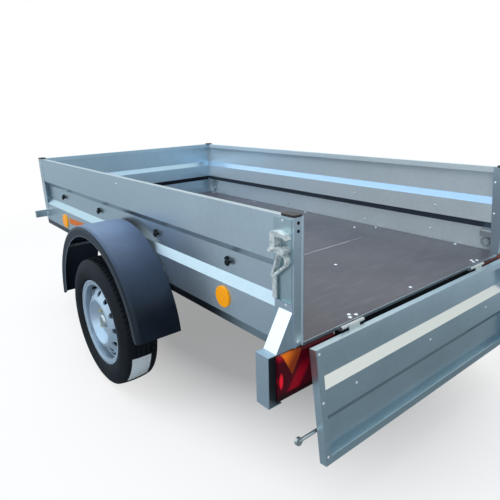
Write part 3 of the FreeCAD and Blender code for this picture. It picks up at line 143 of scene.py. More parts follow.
def fill_ramp(ramp: bpy.types.ColorRamp, stops: Sequence[tuple[float, float | Colour]]) -> None:
    """Give a colour ramp its stops.

    Args:
        ramp: The ramp.
        stops: Pairs of place and grey level or colour, rising in place.
    """
    while len(ramp.elements) < len(stops):
        ramp.elements.new(0.5)
    for element, (at, level) in zip(ramp.elements, stops):
        element.position = at
        element.color = (*level, 1) if isinstance(level, tuple) else (level, level, level, 1)


class Shading:
    """Small helper that adds nodes to one material and links them.

    Attributes:
        SLOPE: Product of a face's parts sideways and up that tells a slope, and width of the change.
        LIKENESS: Cosine between two ways that tells them alike, and width of the change.
        DUST: Share of the painted sheen by how far a face looks up.
    """

    SLOPE = (0.35, 0.1)
    LIKENESS = (0.94, 0.04)
    DUST = ((0.35, 0.0), (0.7, 0.26), (0.93, 0.66), (1.0, 1.0))

    def __init__(self, name: str) -> None:
        """Start a node material.

        Args:
            name: Name of the material.
        """
        self.material = bpy.data.materials.new(name)
        self.material.use_nodes = True
        self.tree = self.material.node_tree
        self.tree.nodes.clear()
        self.output = self.tree.nodes.new("ShaderNodeOutputMaterial")
        self.shader = self.tree.nodes.new("ShaderNodeBsdfPrincipled")
        self.link(self.shader.outputs[0], self.output.inputs["Surface"])
        self.place = self.tree.nodes.new("ShaderNodeTexCoord").outputs["Object"]

    def link(self, source: bpy.types.NodeSocket, target: bpy.types.NodeSocket) -> None:
        """Link an output to an input."""
        self.tree.links.new(source, target)

    def set(self, **values: float | Colour) -> None:
        """Set plain values on the shader's own sockets.

        Args:
            values: Number or colour of each socket, named with underscores for spaces.
        """
        for name, value in values.items():
            socket = self.shader.inputs[name.replace("_", " ")]
            if isinstance(value, tuple):
                value = (*value, 1.0)
            socket.default_value = value

    def mapped(self, scale: tuple[float, float, float]) -> bpy.types.NodeSocket:
        """Scale the object coordinates.

        Args:
            scale: Factor along each axis.

        Returns:
            The mapped coordinates.
        """
        node = self.tree.nodes.new("ShaderNodeMapping")
        node.inputs["Scale"].default_value = scale
        self.link(self.place, node.inputs["Vector"])
        return node.outputs[0]

    def parts(
        self, vector: bpy.types.NodeSocket | None = None
    ) -> tuple[bpy.types.NodeSocket, bpy.types.NodeSocket, bpy.types.NodeSocket]:
        """Split a vector.

        Args:
            vector: The vector, or none for the object coordinates.

        Returns:
            Its parts along the trailer, across it and up.
        """
        node = self.tree.nodes.new("ShaderNodeSeparateXYZ")
        self.link(self.place if vector is None else vector, node.inputs[0])
        return node.outputs[0], node.outputs[1], node.outputs[2]

    def facing(self) -> bpy.types.NodeSocket:
        """The way that a surface looks, as a unit vector."""
        return self.tree.nodes.new("ShaderNodeTexCoord").outputs["Normal"]

    def edge(self, value: bpy.types.NodeSocket, soft: float) -> bpy.types.NodeSocket:
        """0 below zero and 1 above it, with a soft step of the given width.

        Args:
            value: The value that is tested.
            soft: Width of the step.

        Returns:
            The mask.
        """
        node = self.tree.nodes.new("ShaderNodeMapRange")
        node.interpolation_type = "SMOOTHSTEP"
        self.link(value, node.inputs["Value"])
        node.inputs["From Min"].default_value = -soft / 2
        node.inputs["From Max"].default_value = soft / 2
        return node.outputs[0]

    def slope(self) -> bpy.types.NodeSocket:
        """Tell sloping faces from others.

        Returns:
            1 on faces that look up and to a side, 0 on upright and level ones.
        """
        least, soft = self.SLOPE
        _, sideways, up = self.parts(self.facing())
        both = self.math("MULTIPLY", self.math("ABSOLUTE", sideways), up)
        return self.edge(self.math("SUBTRACT", both, least), soft)

    def towards(self, way: Point) -> bpy.types.NodeSocket:
        """Tell faces that look one way from others.

        Args:
            way: The way, as a unit vector.

        Returns:
            1 on faces within 16 degrees of it, 0 on those more than 23 degrees off it.
        """
        least, soft = self.LIKENESS
        along = self.tree.nodes.new("ShaderNodeVectorMath")
        along.operation = "DOT_PRODUCT"
        along.inputs[1].default_value = way
        self.link(self.facing(), along.inputs[0])
        return self.edge(self.math("SUBTRACT", along.outputs["Value"], least), soft)

    def upward(self) -> bpy.types.NodeSocket:
        """Tell how far a surface looks up, for the painted sheen on top faces.

        Returns:
            0 on upright faces, rising to 1 on level ones that face up.
        """
        up = self.parts(self.facing())[2]
        return self.ramp(up, self.DUST)

    def noise(
        self, vector: bpy.types.NodeSocket, scale: float, detail: float = 4.0, rough: float = 0.55
    ) -> bpy.types.NodeSocket:
        """Add cloudy noise.

        Args:
            vector: Coordinates that it follows.
            scale: Repeats in a unit of them.
            detail: Number of finer layers.
            rough: Share of the finer layers.

        Returns:
            A value between 0 and 1.
        """
        node = self.tree.nodes.new("ShaderNodeTexNoise")
        self.link(vector, node.inputs["Vector"])
        node.inputs["Scale"].default_value = scale
        node.inputs["Detail"].default_value = detail
        node.inputs["Roughness"].default_value = rough
        return node.outputs["Fac"]

    def cells(self, vector: bpy.types.NodeSocket, scale: float) -> bpy.types.Node:
        """Add a pattern of cells, for spangle and prisms.

        Args:
            vector: Coordinates that it follows.
            scale: Cells in a unit of them.

        Returns:
            The node, with its distances and colours.
        """
        node = self.tree.nodes.new("ShaderNodeTexVoronoi")
        self.link(vector, node.inputs["Vector"])
        node.inputs["Scale"].default_value = scale
        return node

    def ramp(
        self, fac: bpy.types.NodeSocket, stops: Sequence[tuple[float, float | Colour]]
    ) -> bpy.types.NodeSocket:
        """Map a value through grey levels or colours.

        Args:
            fac: The value that drives the ramp.
            stops: Pairs of place and level, rising in place.

        Returns:
            The mapped value.
        """
        node = self.tree.nodes.new("ShaderNodeValToRGB")
        fill_ramp(node.color_ramp, stops)
        self.link(fac, node.inputs[0])
        return node.outputs[0]

    def math(
        self, kind: str, first: bpy.types.NodeSocket | float, second: bpy.types.NodeSocket | float = 0.0
    ) -> bpy.types.NodeSocket:
        """Work with sockets or numbers.

        Args:
            kind: The operation, as Blender names it.
            first: First value.
            second: Second value, where the operation has one.

        Returns:
            The result.
        """
        node = self.tree.nodes.new("ShaderNodeMath")
        node.operation = kind
        for index, value in enumerate((first, second)):
            if isinstance(value, (int, float)):
                node.inputs[index].default_value = value
            else:
                self.link(value, node.inputs[index])
        return node.outputs[0]

    def spread(self, fac: bpy.types.NodeSocket, low: float, high: float) -> bpy.types.NodeSocket:
        """Spread a value over a range.

        Args:
            fac: The value, from 0 to 1.
            low: Result at 0.
            high: Result at 1.

        Returns:
            The result.
        """
        node = self.tree.nodes.new("ShaderNodeMapRange")
        self.link(fac, node.inputs["Value"])
        node.inputs["To Min"].default_value = low
        node.inputs["To Max"].default_value = high
        return node.outputs[0]

    def mix(
        self,
        fac: bpy.types.NodeSocket | float,
        first: bpy.types.NodeSocket | Colour,
        second: bpy.types.NodeSocket | Colour,
        blend: str = "MIX",
    ) -> bpy.types.NodeSocket:
        """Mix two colours.

        Args:
            fac: Share of the second colour.
            first: First colour.
            second: Second colour.
            blend: Way of mixing, as Blender names it.

        Returns:
            The mixed colour.
        """
        node = self.tree.nodes.new("ShaderNodeMix")
        node.data_type = "RGBA"
        node.blend_type = blend
        sockets = [node.inputs[0], node.inputs[6], node.inputs[7]]
        for socket, value in zip(sockets, (fac, first, second)):
            if isinstance(value, tuple):
                socket.default_value = (*value, 1.0)
            elif isinstance(value, (int, float)):
                socket.default_value = value
            else:
                self.link(value, socket)
        return node.outputs[2]

    def bump(
        self,
        height: bpy.types.NodeSocket,
        strength: float,
        distance: float,
        below: bpy.types.NodeSocket | None = None,
    ) -> bpy.types.NodeSocket:
        """Turn a height into a bumped facing.

        Args:
            height: The height, from 0 to 1.
            strength: Strength of the bump.
            distance: Depth of the bump in metres.
            below: Another bump that it lies over.

        Returns:
            The bumped facing.
        """
        node = self.tree.nodes.new("ShaderNodeBump")
        node.inputs["Strength"].default_value = strength
        node.inputs["Distance"].default_value = distance
        self.link(height, node.inputs["Height"])
        if below is not None:
            self.link(below, node.inputs["Normal"])
        return node.outputs[0]

    def finish(
        self, colour: bpy.types.NodeSocket, rough: bpy.types.NodeSocket, normal: bpy.types.NodeSocket
    ) -> bpy.types.Material:
        """Link the maps that vary to the shader.

        Args:
            colour: Varying base colour.
            rough: Varying roughness.
            normal: Bumped normal.

        Returns:
            The finished material.
        """
        for socket, name in ((colour, "Base Color"), (rough, "Roughness"), (normal, "Normal")):
            self.link(socket, self.shader.inputs[name])
        return self.material


class NodeTree:
    """Small helper that builds one Geometry Nodes tree."""

    def __init__(self, name: str, inputs: dict[str, str]) -> None:
        """Start a tree with a geometry input and output.

        Args:
            name: Name of the tree.
            inputs: Names and socket types of the other inputs.
        """
        self.tree = bpy.data.node_groups.new(name, "GeometryNodeTree")
        face = self.tree.interface
        face.new_socket("Geometry", in_out="INPUT", socket_type="NodeSocketGeometry")
        for label, kind in inputs.items():
            face.new_socket(label, in_out="INPUT", socket_type=kind)
        face.new_socket("Geometry", in_out="OUTPUT", socket_type="NodeSocketGeometry")
        self.given = self.tree.nodes.new("NodeGroupInput").outputs
        self.result = self.tree.nodes.new("NodeGroupOutput").inputs[0]

    def add(self, kind: str, links: dict[str | int, object], **settings: str) -> bpy.types.Node:
        """Add a node.

        Args:
            kind: Type of the node.
            links: Sockets or plain values for its inputs, by name or number.
            settings: Settings of the node itself.

        Returns:
            The new node.
        """
        node = self.tree.nodes.new(kind)
        for key, value in settings.items():
            setattr(node, key, value)
        for key, value in links.items():
            for source in value if isinstance(value, list) else [value]:
                if isinstance(source, bpy.types.NodeSocket):
                    self.tree.links.new(source, node.inputs[key])
                else:
                    node.inputs[key].default_value = source
        return node

    def close(self, geometry: bpy.types.NodeSocket) -> None:
        """End the tree with real geometry in its material.

        Args:
            geometry: The instances or mesh that the tree has made.
        """
        real = self.add("GeometryNodeRealizeInstances", {0: geometry})
        painted = self.add(
            "GeometryNodeSetMaterial", {"Geometry": real.outputs[0], "Material": self.given["Material"]}
        )
        self.tree.links.new(painted.outputs[0], self.result)

    def bake(self, name: str, source: bpy.types.Mesh, values: dict[str, object]) -> bpy.types.Object:
        """Run the tree on a mesh and keep what it makes.

        Args:
            name: Name of the piece.
            source: Mesh that the tree starts from.
            values: Values of the tree's inputs, by name.

        Returns:
            The piece, with no modifier.
        """
        piece = bpy.data.objects.new(name, source)
        bpy.context.collection.objects.link(piece)
        modifier = piece.modifiers.new("make", "NODES")
        modifier.node_group = self.tree
        for item in self.tree.interface.items_tree:
            if item.in_out == "INPUT" and item.name in values:
                modifier[item.identifier] = values[item.name]
        seen = piece.evaluated_get(bpy.context.evaluated_depsgraph_get())
        mesh = bpy.data.meshes.new_from_object(seen)
        piece.modifiers.clear()
        piece.data = mesh
        mesh.name = name
        return piece


class FastenerTree(NodeTree):
    """Sets one fastener head on every point of a mesh, turned to the point's facing.

    Attributes:
        WASHER_SHARE: Height of a washer as a share of the head's.
        WASHER_SIDES: Sides of a washer.
        LEAST_WASHER: Radius in metres under which there is no washer.
    """

    WASHER_SHARE = 0.22
    WASHER_SIDES = 16
    LEAST_WASHER = 0.0001

    def __init__(self) -> None:
        """Build the tree."""
        numbers = ("Radius", "Height", "Shoulder Radius", "Crown Radius", "Washer Radius")
        inputs = {name: "NodeSocketFloat" for name in numbers}
        super().__init__(
            "fastener_heads",
            {**inputs, "Sides": "NodeSocketInt", "Seed": "NodeSocketInt", "Material": "NodeSocketMaterial"},
        )
        half = self.scaled(self.given["Height"], 0.5)
        plate = self.scaled(self.given["Height"], self.WASHER_SHARE)
        lower = self.cone(self.given["Radius"], self.given["Shoulder Radius"], half)
        upper = self.cone(self.given["Shoulder Radius"], self.given["Crown Radius"], half)
        lift = self.add("ShaderNodeCombineXYZ", {"Z": half})
        raised = self.add(
            "GeometryNodeTransform", {"Geometry": upper, "Translation": lift.outputs[0]}
        )
        washer = self.add(
            "GeometryNodeMeshCone",
            {"Vertices": self.WASHER_SIDES, "Radius Top": self.given["Washer Radius"],
             "Radius Bottom": self.given["Washer Radius"], "Depth": plate},
        )
        wanted = self.add(
            "FunctionNodeCompare", {0: self.given["Washer Radius"], 1: self.LEAST_WASHER})
        shown = self.add("GeometryNodeSwitch", {"Switch": wanted.outputs[0], "True": washer.outputs[0]})
        head = self.add("GeometryNodeJoinGeometry", {0: [lower, raised.outputs[0], shown.outputs[0]]})
        facing = self.add("GeometryNodeInputNamedAttribute", {"Name": "facing"}, data_type="FLOAT_VECTOR")
        aimed = self.add("FunctionNodeAlignRotationToVector", {"Vector": facing.outputs[0]}, axis="Z")
        chance = self.add("FunctionNodeRandomValue", {"Seed": self.given["Seed"]}, data_type="FLOAT")
        spin = self.add(
            "FunctionNodeAxisAngleToRotation",
            {"Axis": (0, 0, 1), "Angle": self.scaled(chance.outputs[1], math.tau)},
        )
        turned = self.add(
            "FunctionNodeRotateRotation",
            {"Rotation": aimed.outputs[0], "Rotate By": spin.outputs[0]},
            rotation_space="LOCAL",
        )
        spots = self.add(
            "GeometryNodeInstanceOnPoints",
            {"Points": self.given["Geometry"], "Instance": head.outputs[0],
             "Rotation": turned.outputs[0]},
        )
        self.close(spots.outputs[0])

    def scaled(self, value: bpy.types.NodeSocket, by: float) -> bpy.types.NodeSocket:
        """A socket's value times a number."""
        return self.add("ShaderNodeMath", {0: value, 1: by}, operation="MULTIPLY").outputs[0]

    def cone(
        self, bottom: bpy.types.NodeSocket, top: bpy.types.NodeSocket, depth: bpy.types.NodeSocket
    ) -> bpy.types.NodeSocket:
        """A frustum with the head's number of sides.

        Args:
            bottom: Radius of its foot.
            top: Radius of its top.
            depth: Height.

        Returns:
            The frustum's mesh.
        """
        return self.add(
            "GeometryNodeMeshCone",
            {"Vertices": self.given["Sides"], "Radius Top": top, "Radius Bottom": bottom, "Depth": depth},
        ).outputs[0]

    def place(
        self, name: str, spots: Sequence[tuple[Point, Point]], head: Head, material: bpy.types.Material,
        seed: int = 7,
    ) -> bpy.types.Object:
        """Make one mesh of heads.

        Args:
            name: Name of the piece.
            spots: Point and facing of each head, in metres.
            head: Kind of head.
            material: Finish of the heads.
            seed: Seed of their turns.

        Returns:
            The piece.
        """
        points = bpy.data.meshes.new(f"{name}_points")
        points.from_pydata([spot for spot, _ in spots], [], [])
        facing = points.attributes.new("facing", "FLOAT_VECTOR", "POINT")
        for row, (_, aim) in zip(facing.data, spots):
            row.vector = Vector(aim).normalized()
        form = head.value
        return self.bake(name, points, {
            "Radius": form.radius * MM,
            "Height": form.height * MM,
            "Shoulder Radius": form.radius * form.shoulder * MM,
            "Crown Radius": form.radius * form.crown * MM,
            "Washer Radius": form.washer * MM,
            "Sides": form.sides,
            "Seed": seed,
            "Material": material,
        })


class BeadTree(NodeTree):
    """Lays a round bead along the edges of a mesh."""

    def __init__(self) -> None:
        """Build the tree."""
        super().__init__(
            "bead_line",
            {"Radius": "NodeSocketFloat", "Sides": "NodeSocketInt", "Material": "NodeSocketMaterial"},
        )
        path = self.add("GeometryNodeMeshToCurve", {"Mesh": self.given["Geometry"]})
        ring = self.add(
            "GeometryNodeCurvePrimitiveCircle",
            {"Resolution": self.given["Sides"], "Radius": self.given["Radius"]},
        )
        tube = self.add(
            "GeometryNodeCurveToMesh",
            {"Curve": path.outputs[0], "Profile Curve": ring.outputs[0], "Fill Caps": True},
        )
        self.close(tube.outputs[0])

    def lay(
        self, name: str, lines: Sequence[Sequence[Point]], radius: float, material: bpy.types.Material,
        sides: int = 8,
    ) -> bpy.types.Object:
        """Make one mesh of beads.

        Args:
            name: Name of the piece.
            lines: Points of each bead's path, in metres.
            radius: Radius of the bead in metres.
            material: Finish of the bead.
            sides: Sides of its section.

        Returns:
            The piece.
        """
        points: list[Point] = []
        edges: list[tuple[int, int]] = []
        for line in lines:
            start = len(points)
            points.extend(line)
            edges.extend((at, at + 1) for at in range(start, len(points) - 1))
        path = bpy.data.meshes.new(f"{name}_path")
        path.from_pydata(points, edges, [])
        return self.bake(name, path, {"Radius": radius, "Sides": sides, "Material": material})


@dataclass(frozen=True)
class SteelFinish:
    """Bare or zinc-coated steel with spangle, rolling streaks and handling marks, plus any painted light.

    Attributes:
        name: Name of the finish.
        colour: Tone of the light clouds.
        dark: Tone of the dark clouds and of the streaks.
        metallic: Share of metal.
        rough: Least and most roughness.
        spangle: Zinc crystals in a metre.
        spangle_depth: How much darker the darkest crystal is.
        streak: Rolling streaks in a metre along each axis.
        streak_share: Share of the streaks' tone.
        mottle: Clouds in a metre.
        wave: Waves of the sheet in a metre.
        slope: Tone of the painted highlight on faces that look up and to a side.
        inside: Distance from the trailer's middle under which painted shade is laid, and its tone.
        ahead: Where a painted change of light starts to come in, the length that it needs, and its tone.
        facing: Ways that single folds look, each with the tone of painted light and shade on such folds.
    """

    name: str
    colour: Colour
    dark: Colour
    metallic: float = 0.9
    rough: tuple[float, float] = (0.26, 0.36)
    spangle: float = 90.0
    spangle_depth: float = 0.06
    streak: tuple[float, float, float] = (2.0, 2.0, 160.0)
    streak_share: float = 0.2
    mottle: float = 5.0
    wave: float = 2.2
    slope: Colour | None = None
    inside: tuple[float, Colour] | None = None
    ahead: tuple[float, float, Colour] | None = None
    facing: tuple[tuple[Point, Colour], ...] = ()

    def build(self) -> bpy.types.Material:
        """Make the material.

        Returns:
            The material.
        """
        shading = Shading(self.name)
        shading.set(Metallic=self.metallic)
        clouds = shading.noise(shading.place, self.mottle, detail=5.0)
        grain = shading.cells(shading.place, self.spangle)
        crystal = shading.spread(grain.outputs["Color"], 1 - self.spangle_depth, 1.0)
        streaks = shading.noise(shading.mapped(self.streak), scale=1.0, detail=3.0)
        tone = shading.ramp(clouds, [(0.25, 0.0), (0.75, 1.0)])
        base = shading.mix(tone, self.dark, self.colour)
        lined = shading.mix(shading.spread(streaks, 0.0, self.streak_share), base, self.dark)
        shade = self.toned(shading, shading.mix(1.0, lined, crystal, "MULTIPLY"))
        wobble = shading.math("MULTIPLY", shading.math("ADD", clouds, streaks), 0.5)
        rough = shading.spread(wobble, *self.rough)
        fine = shading.bump(grain.outputs["Distance"], strength=0.04, distance=0.0006)
        waves = shading.noise(shading.place, self.wave, detail=2.0)
        wide = shading.bump(waves, strength=0.12, distance=0.003, below=fine)
        return shading.finish(shade, rough, wide)

    def toned(self, shading: Shading, shade: bpy.types.NodeSocket) -> bpy.types.NodeSocket:
        """Lay painted light and shade over the steel: by slope, by depth, along the trailer and by facing.

        Args:
            shading: The material that is built.
            shade: The steel's own tone.

        Returns:
            The tone with them.
        """
        if self.slope is not None:
            # painted highlight on faces that slope up and to a side
            shade = shading.mix(shading.slope(), shade, self.slope)
        if self.inside is not None:
            # painted shade on what lies nearer the trailer's middle than the given distance
            across = shading.math("ABSOLUTE", shading.parts()[1])
            painted_shade_mask = shading.edge(shading.math("SUBTRACT", self.inside[0], across), soft=0.003)
            shade = shading.mix(painted_shade_mask, shade, self.inside[1])
        if self.ahead is not None:
            # painted change of light along the trailer
            start, length, colour = self.ahead
            past = shading.math("SUBTRACT", shading.parts()[0], start + length / 2)
            shade = shading.mix(shading.edge(past, length), shade, colour)
        # painted shade and highlight on folds by the way they look
        for way, colour in self.facing:
            shade = shading.mix(shading.towards(way), shade, colour)
        return shade


@dataclass(frozen=True)
class PlasticFinish:
    """Moulded plastic or rubber with a fine grain, worn clouds and any painted sheen on top faces.

    Attributes:
        name: Name of the finish.
        colour: Tone of the clean plastic.
        worn: Tone of its worn clouds.
        rough: Least and most roughness.
        grain: Pits in a metre.
        grain_depth: Strength of the pits.
        coat: Share of a glossy skin.
        specular: Level of the plain gloss.
        dust: Tone of the painted sky sheen on what faces up, in uneven clouds.
    """

    name: str
    colour: Colour
    worn: Colour
    rough: tuple[float, float] = (0.35, 0.5)
    grain: float = 900.0
    grain_depth: float = 0.08
    coat: float = 0.0
    specular: float = 0.5
    dust: Colour | None = None

    def build(self) -> bpy.types.Material:
        """Make the material.

        Returns:
            The material.
        """
        shading = Shading(self.name)
        shading.set(Coat_Weight=self.coat, Coat_Roughness=0.2, Specular_IOR_Level=self.specular)
        clouds = shading.noise(shading.place, scale=9.0, detail=6.0, rough=0.6)
        pits = shading.noise(shading.place, self.grain, detail=2.0)
        colour = shading.mix(shading.ramp(clouds, [(0.35, 0.0), (0.8, 1.0)]), self.colour, self.worn)
        # painted sheen: a bluish tone laid in uneven clouds on faces that look up
        if self.dust is not None:
            uneven = shading.spread(clouds, low=0.7, high=1.2)
            sheen_mask = shading.math("MULTIPLY", shading.upward(), uneven)
            colour = shading.mix(sheen_mask, colour, self.dust)
        rough = shading.spread(clouds, *self.rough)
        return shading.finish(colour, rough, shading.bump(pits, self.grain_depth, distance=0.0004))


@dataclass(frozen=True)
class PlyFinish:
    """Film-faced plywood: a dark resin film with a pressed mesh and scuffs.

    Attributes:
        name: Name of the finish.
        colour: Tone of the film's light clouds.
        deep: Tone of its dark clouds and of the mesh's knots.
        scuff: Tone of the long scuffs.
        rubbed: Tone of the rubbed edges at the joint.
        joint: Where the two sheets meet, from the frame's origin.
        joint_half: Half width of the rubbed edges.
        mesh_pitch: Pitch of the pressed mesh.
    """

    name: str
    colour: Colour = (0.074, 0.065, 0.074)
    deep: Colour = (0.042, 0.037, 0.046)
    scuff: Colour = (0.165, 0.155, 0.17)
    rubbed: Colour = (0.27, 0.27, 0.28)
    joint: float = -1.0668
    joint_half: float = 0.0030
    mesh_pitch: float = 0.0045

    def build(self) -> bpy.types.Material:
        """Make the material.

        Returns:
            The material.
        """
        shading = Shading(self.name)
        clouds = shading.noise(shading.place, scale=3.5, detail=6.0, rough=0.62)
        base = shading.mix(shading.ramp(clouds, [(0.3, 0.0), (0.7, 1.0)]), self.deep, self.colour)
        per_metre = math.tau / self.mesh_pitch
        along, across, _ = shading.parts(shading.mapped((per_metre, per_metre, 1)))
        weave = shading.math("MULTIPLY", shading.math("SINE", along), shading.math("SINE", across))
        knots = shading.spread(shading.math("ABSOLUTE", weave), low=0.0, high=0.35)
        printed = shading.mix(knots, base, self.deep)
        marks = shading.noise(shading.mapped((11.0, 1.1, 1.0)), scale=6.0, detail=8.0, rough=0.7)
        worn = shading.mix(shading.ramp(marks, [(0.50, 0.0), (0.78, 0.42)]), printed, self.scuff)
        from_joint = shading.math("ABSOLUTE", shading.math("SUBTRACT", shading.parts()[0], self.joint))
        patches = shading.noise(shading.place, scale=7.0, detail=3.0)
        patchy = shading.ramp(patches, [(0.40, 0.0), (0.56, 1.0)])
        edge = shading.edge(shading.math("SUBTRACT", self.joint_half, from_joint), soft=0.0016)
        worn = shading.mix(shading.math("MULTIPLY", edge, patchy), worn, self.rubbed)
        rough = shading.spread(clouds, low=0.32, high=0.46)
        pressed = shading.bump(weave, strength=0.25, distance=0.0004)
        return shading.finish(worn, rough, pressed)


@dataclass(frozen=True)
class LensFinish:
    """Coloured lens plastic with moulded prisms under a glossy skin.

    Attributes:
        name: Name of the finish.
        colour: Tone in the middle of a prism.
        deep: Tone between the prisms.
        prism: Prisms in a metre.
        coat: Share of the glossy skin.
        specular: Level of the plain gloss.
        glow: Strength of a painted glow in the lens's colour, for the light that it sends back.
    """

    name: str
    colour: Colour
    deep: Colour
    prism: float = 260.0
    coat: float = 0.7
    specular: float = 0.5
    glow: float = 0.0

    def build(self) -> bpy.types.Material:
        """Make the material.

        Returns:
            The material.
        """
        shading = Shading(self.name)
        shading.set(Coat_Weight=self.coat, Coat_Roughness=0.06, Specular_IOR_Level=self.specular)
        # painted glow in the lens's own colour
        shading.set(Emission_Color=self.colour, Emission_Strength=self.glow)
        cells = shading.cells(shading.place, self.prism)
        tone = shading.ramp(cells.outputs["Distance"], [(0.0, 0.0), (0.6, 1.0)])
        colour = shading.mix(tone, self.colour, self.deep)
        rough = shading.spread(shading.noise(shading.place, scale=30.0), low=0.14, high=0.26)
        pressed = shading.bump(cells.outputs["Distance"], strength=0.3, distance=0.0012)
        return shading.finish(colour, rough, pressed)


@dataclass(frozen=True)
class LampFinish:
    """Rear lamp lens: an amber triangle in dark red over fine prisms, with painted glint, shade and glow.

    Places are pairs of the distance from the trailer's middle and the height.

    Attributes:
        name: Name of the finish.
        red: Tone of the red zones.
        deep: Tone of the red between them.
        dark: Tone of the painted shade under the lamp's foot line.
        bright: Tone of the painted glint, an upright oval.
        amber: Tone of the amber triangle's outer corner.
        amber_deep: Tone of its inner corner.
        top: Height of the lens's upper edge.
        tip: Lower tip of the triangle.
        half: Half width of the triangle at the upper edge.
        spot: Middle of the painted glint.
        spot_half: Half width and half height of the painted glint.
        spot_reach: How far the glint reaches, and over what width, in its squared half sizes.
        band: A point on the middle line of the red stripe.
        band_way: How far the stripe runs outwards and downwards in a unit of its length.
        band_half: Half width of the stripe.
        band_soft: Width of its edges, and of its upper end.
        band_top: Height at which the stripe fades.
        band_share: Share of the red in the stripe.
        corner_drop: Height of the red upper corner.
        corner_share: Share of the red in that corner.
        corner_soft: Width of its edges, upright and level.
        foot: Height of the foot line.
        foot_soft: Width of the change there.
        soft: Width of the triangle's edge.
        warmth: How fast the amber grows brighter outwards and upwards.
        warm_from: Where it is half as bright as at most, and the width of the change.
        prism_share: Share of the deep red between the prisms.
        glow: Strength of a painted glow in the lens's own colour, for the light that it sends back.
        prism: Prisms in a metre.
    """

    name: str
    red: Colour = (0.40, 0.003, 0.014)
    deep: Colour = (0.050, 0.001, 0.005)
    dark: Colour = (0.006, 0.001, 0.001)
    bright: Colour = (1.0, 0.010, 0.030)
    amber: Colour = (0.96, 0.21, 0.006)
    amber_deep: Colour = (0.24, 0.035, 0.003)
    top: float = 0.498
    tip: tuple[float, float] = (0.6055, 0.431)
    half: float = 0.035
    spot: tuple[float, float] = (0.6465, 0.426)
    spot_half: tuple[float, float] = (0.0078, 0.026)
    spot_reach: tuple[float, float] = (0.7, 0.9)
    band: tuple[float, float] = (0.585, 0.412)
    band_way: tuple[float, float] = (0.57, 0.82)
    band_half: float = 0.018
    band_soft: tuple[float, float] = (0.014, 0.05)
    band_top: float = 0.448
    band_share: float = 0.7
    corner_drop: float = 0.012
    corner_share: float = 0.8
    corner_soft: tuple[float, float] = (0.01, 0.016)
    foot: float = 0.386
    foot_soft: float = 0.008
    soft: float = 0.003
    warmth: tuple[float, float] = (11.0, 9.0)
    warm_from: tuple[float, float] = (0.58, 0.6)
    prism_share: float = 0.45
    glow: float = 0.3
    prism: float = 1500.0

    def build(self) -> bpy.types.Material:
        """Make the material.

        Returns:
            The material.
        """
        shading = Shading(self.name)
        shading.set(Specular_IOR_Level=0.12, Emission_Strength=self.glow)
        _, along, up = shading.parts()
        across = shading.math("ABSOLUTE", along)
        height = shading.math("SUBTRACT", up, self.tip[1])
        lean = self.half / (self.top - self.tip[1])
        reach = shading.math("MULTIPLY", height, lean)
        from_tip = shading.math("SUBTRACT", across, self.tip[0])
        wedge = shading.edge(
            shading.math("SUBTRACT", reach, shading.math("ABSOLUTE", from_tip)), self.soft)
        grain = shading.cells(shading.mapped((1, 1, 0.35)), self.prism)
        tone = shading.ramp(grain.outputs["Distance"], [(0.05, 0.0), (0.75, 1.0)])
        base = shading.mix(self.stripe(shading, across, up), self.deep, self.red)
        upright, level = self.corner_soft
        high = shading.edge(shading.math("SUBTRACT", up, self.top - self.corner_drop), level)
        corner = shading.math("MULTIPLY", shading.edge(from_tip, upright), high)
        base = shading.mix(shading.math("MULTIPLY", corner, self.corner_share), base, self.red)
        # painted shade under the lamp's foot line
        below = shading.edge(shading.math("SUBTRACT", self.foot, up), self.foot_soft)
        base = shading.mix(below, base, self.dark)
        # painted glint
        lit = shading.mix(self.glint(shading, across, up), base, self.bright)
        outward, upward = self.warmth
        start, width = self.warm_from
        clear = shading.math("ADD", shading.math("MULTIPLY", height, upward),
                             shading.math("MULTIPLY", from_tip, outward))
        bright = shading.edge(shading.math("SUBTRACT", clear, start), width)
        shown = shading.mix(wedge, lit, shading.mix(bright, self.amber_deep, self.amber))
        colour = shading.mix(shading.math("MULTIPLY", tone, self.prism_share), shown, self.deep)
        # painted glow: the lens shines in its own colour
        shading.link(colour, shading.shader.inputs["Emission Color"])
        rough = shading.spread(shading.noise(shading.place, scale=30.0), low=0.12, high=0.24)
        pressed = shading.bump(grain.outputs["Distance"], strength=0.25, distance=0.0006)
        return shading.finish(colour, rough, pressed)

    def stripe(
        self, shading: Shading, across: bpy.types.NodeSocket, up: bpy.types.NodeSocket
    ) -> bpy.types.NodeSocket:
        """Mask the red stripe that runs downwards and outwards beside the amber triangle.

        Args:
            shading: The material that is built.
            across: Distance from the trailer's middle.
            up: Height.

        Returns:
            The mask.
        """
        aside = shading.math("MULTIPLY", shading.math("SUBTRACT", across, self.band[0]), self.band_way[1])
        above = shading.math("MULTIPLY", shading.math("SUBTRACT", up, self.band[1]), self.band_way[0])
        away = shading.math("ABSOLUTE", shading.math("ADD", aside, above))
        inside = shading.edge(shading.math("SUBTRACT", self.band_half, away), self.band_soft[0])
        below = shading.edge(shading.math("SUBTRACT", self.band_top, up), self.band_soft[1])
        return shading.math("MULTIPLY", shading.math("MULTIPLY", inside, below), self.band_share)

    def glint(
        self, shading: Shading, across: bpy.types.NodeSocket, up: bpy.types.NodeSocket
    ) -> bpy.types.NodeSocket:
        """Mask the painted glint, an upright oval brightest in its middle.

        Args:
            shading: The material that is built.
            across: Distance from the trailer's middle.
            up: Height.

        Returns:
            The mask.
        """
        reach, soft = self.spot_reach
        squares: list[bpy.types.NodeSocket] = []
        for value, middle, half in zip((across, up), self.spot, self.spot_half):
            share = shading.math("DIVIDE", shading.math("SUBTRACT", value, middle), half)
            squares.append(shading.math("POWER", share, 2.0))
        return shading.edge(shading.math("SUBTRACT", reach, shading.math("ADD", *squares)), soft)


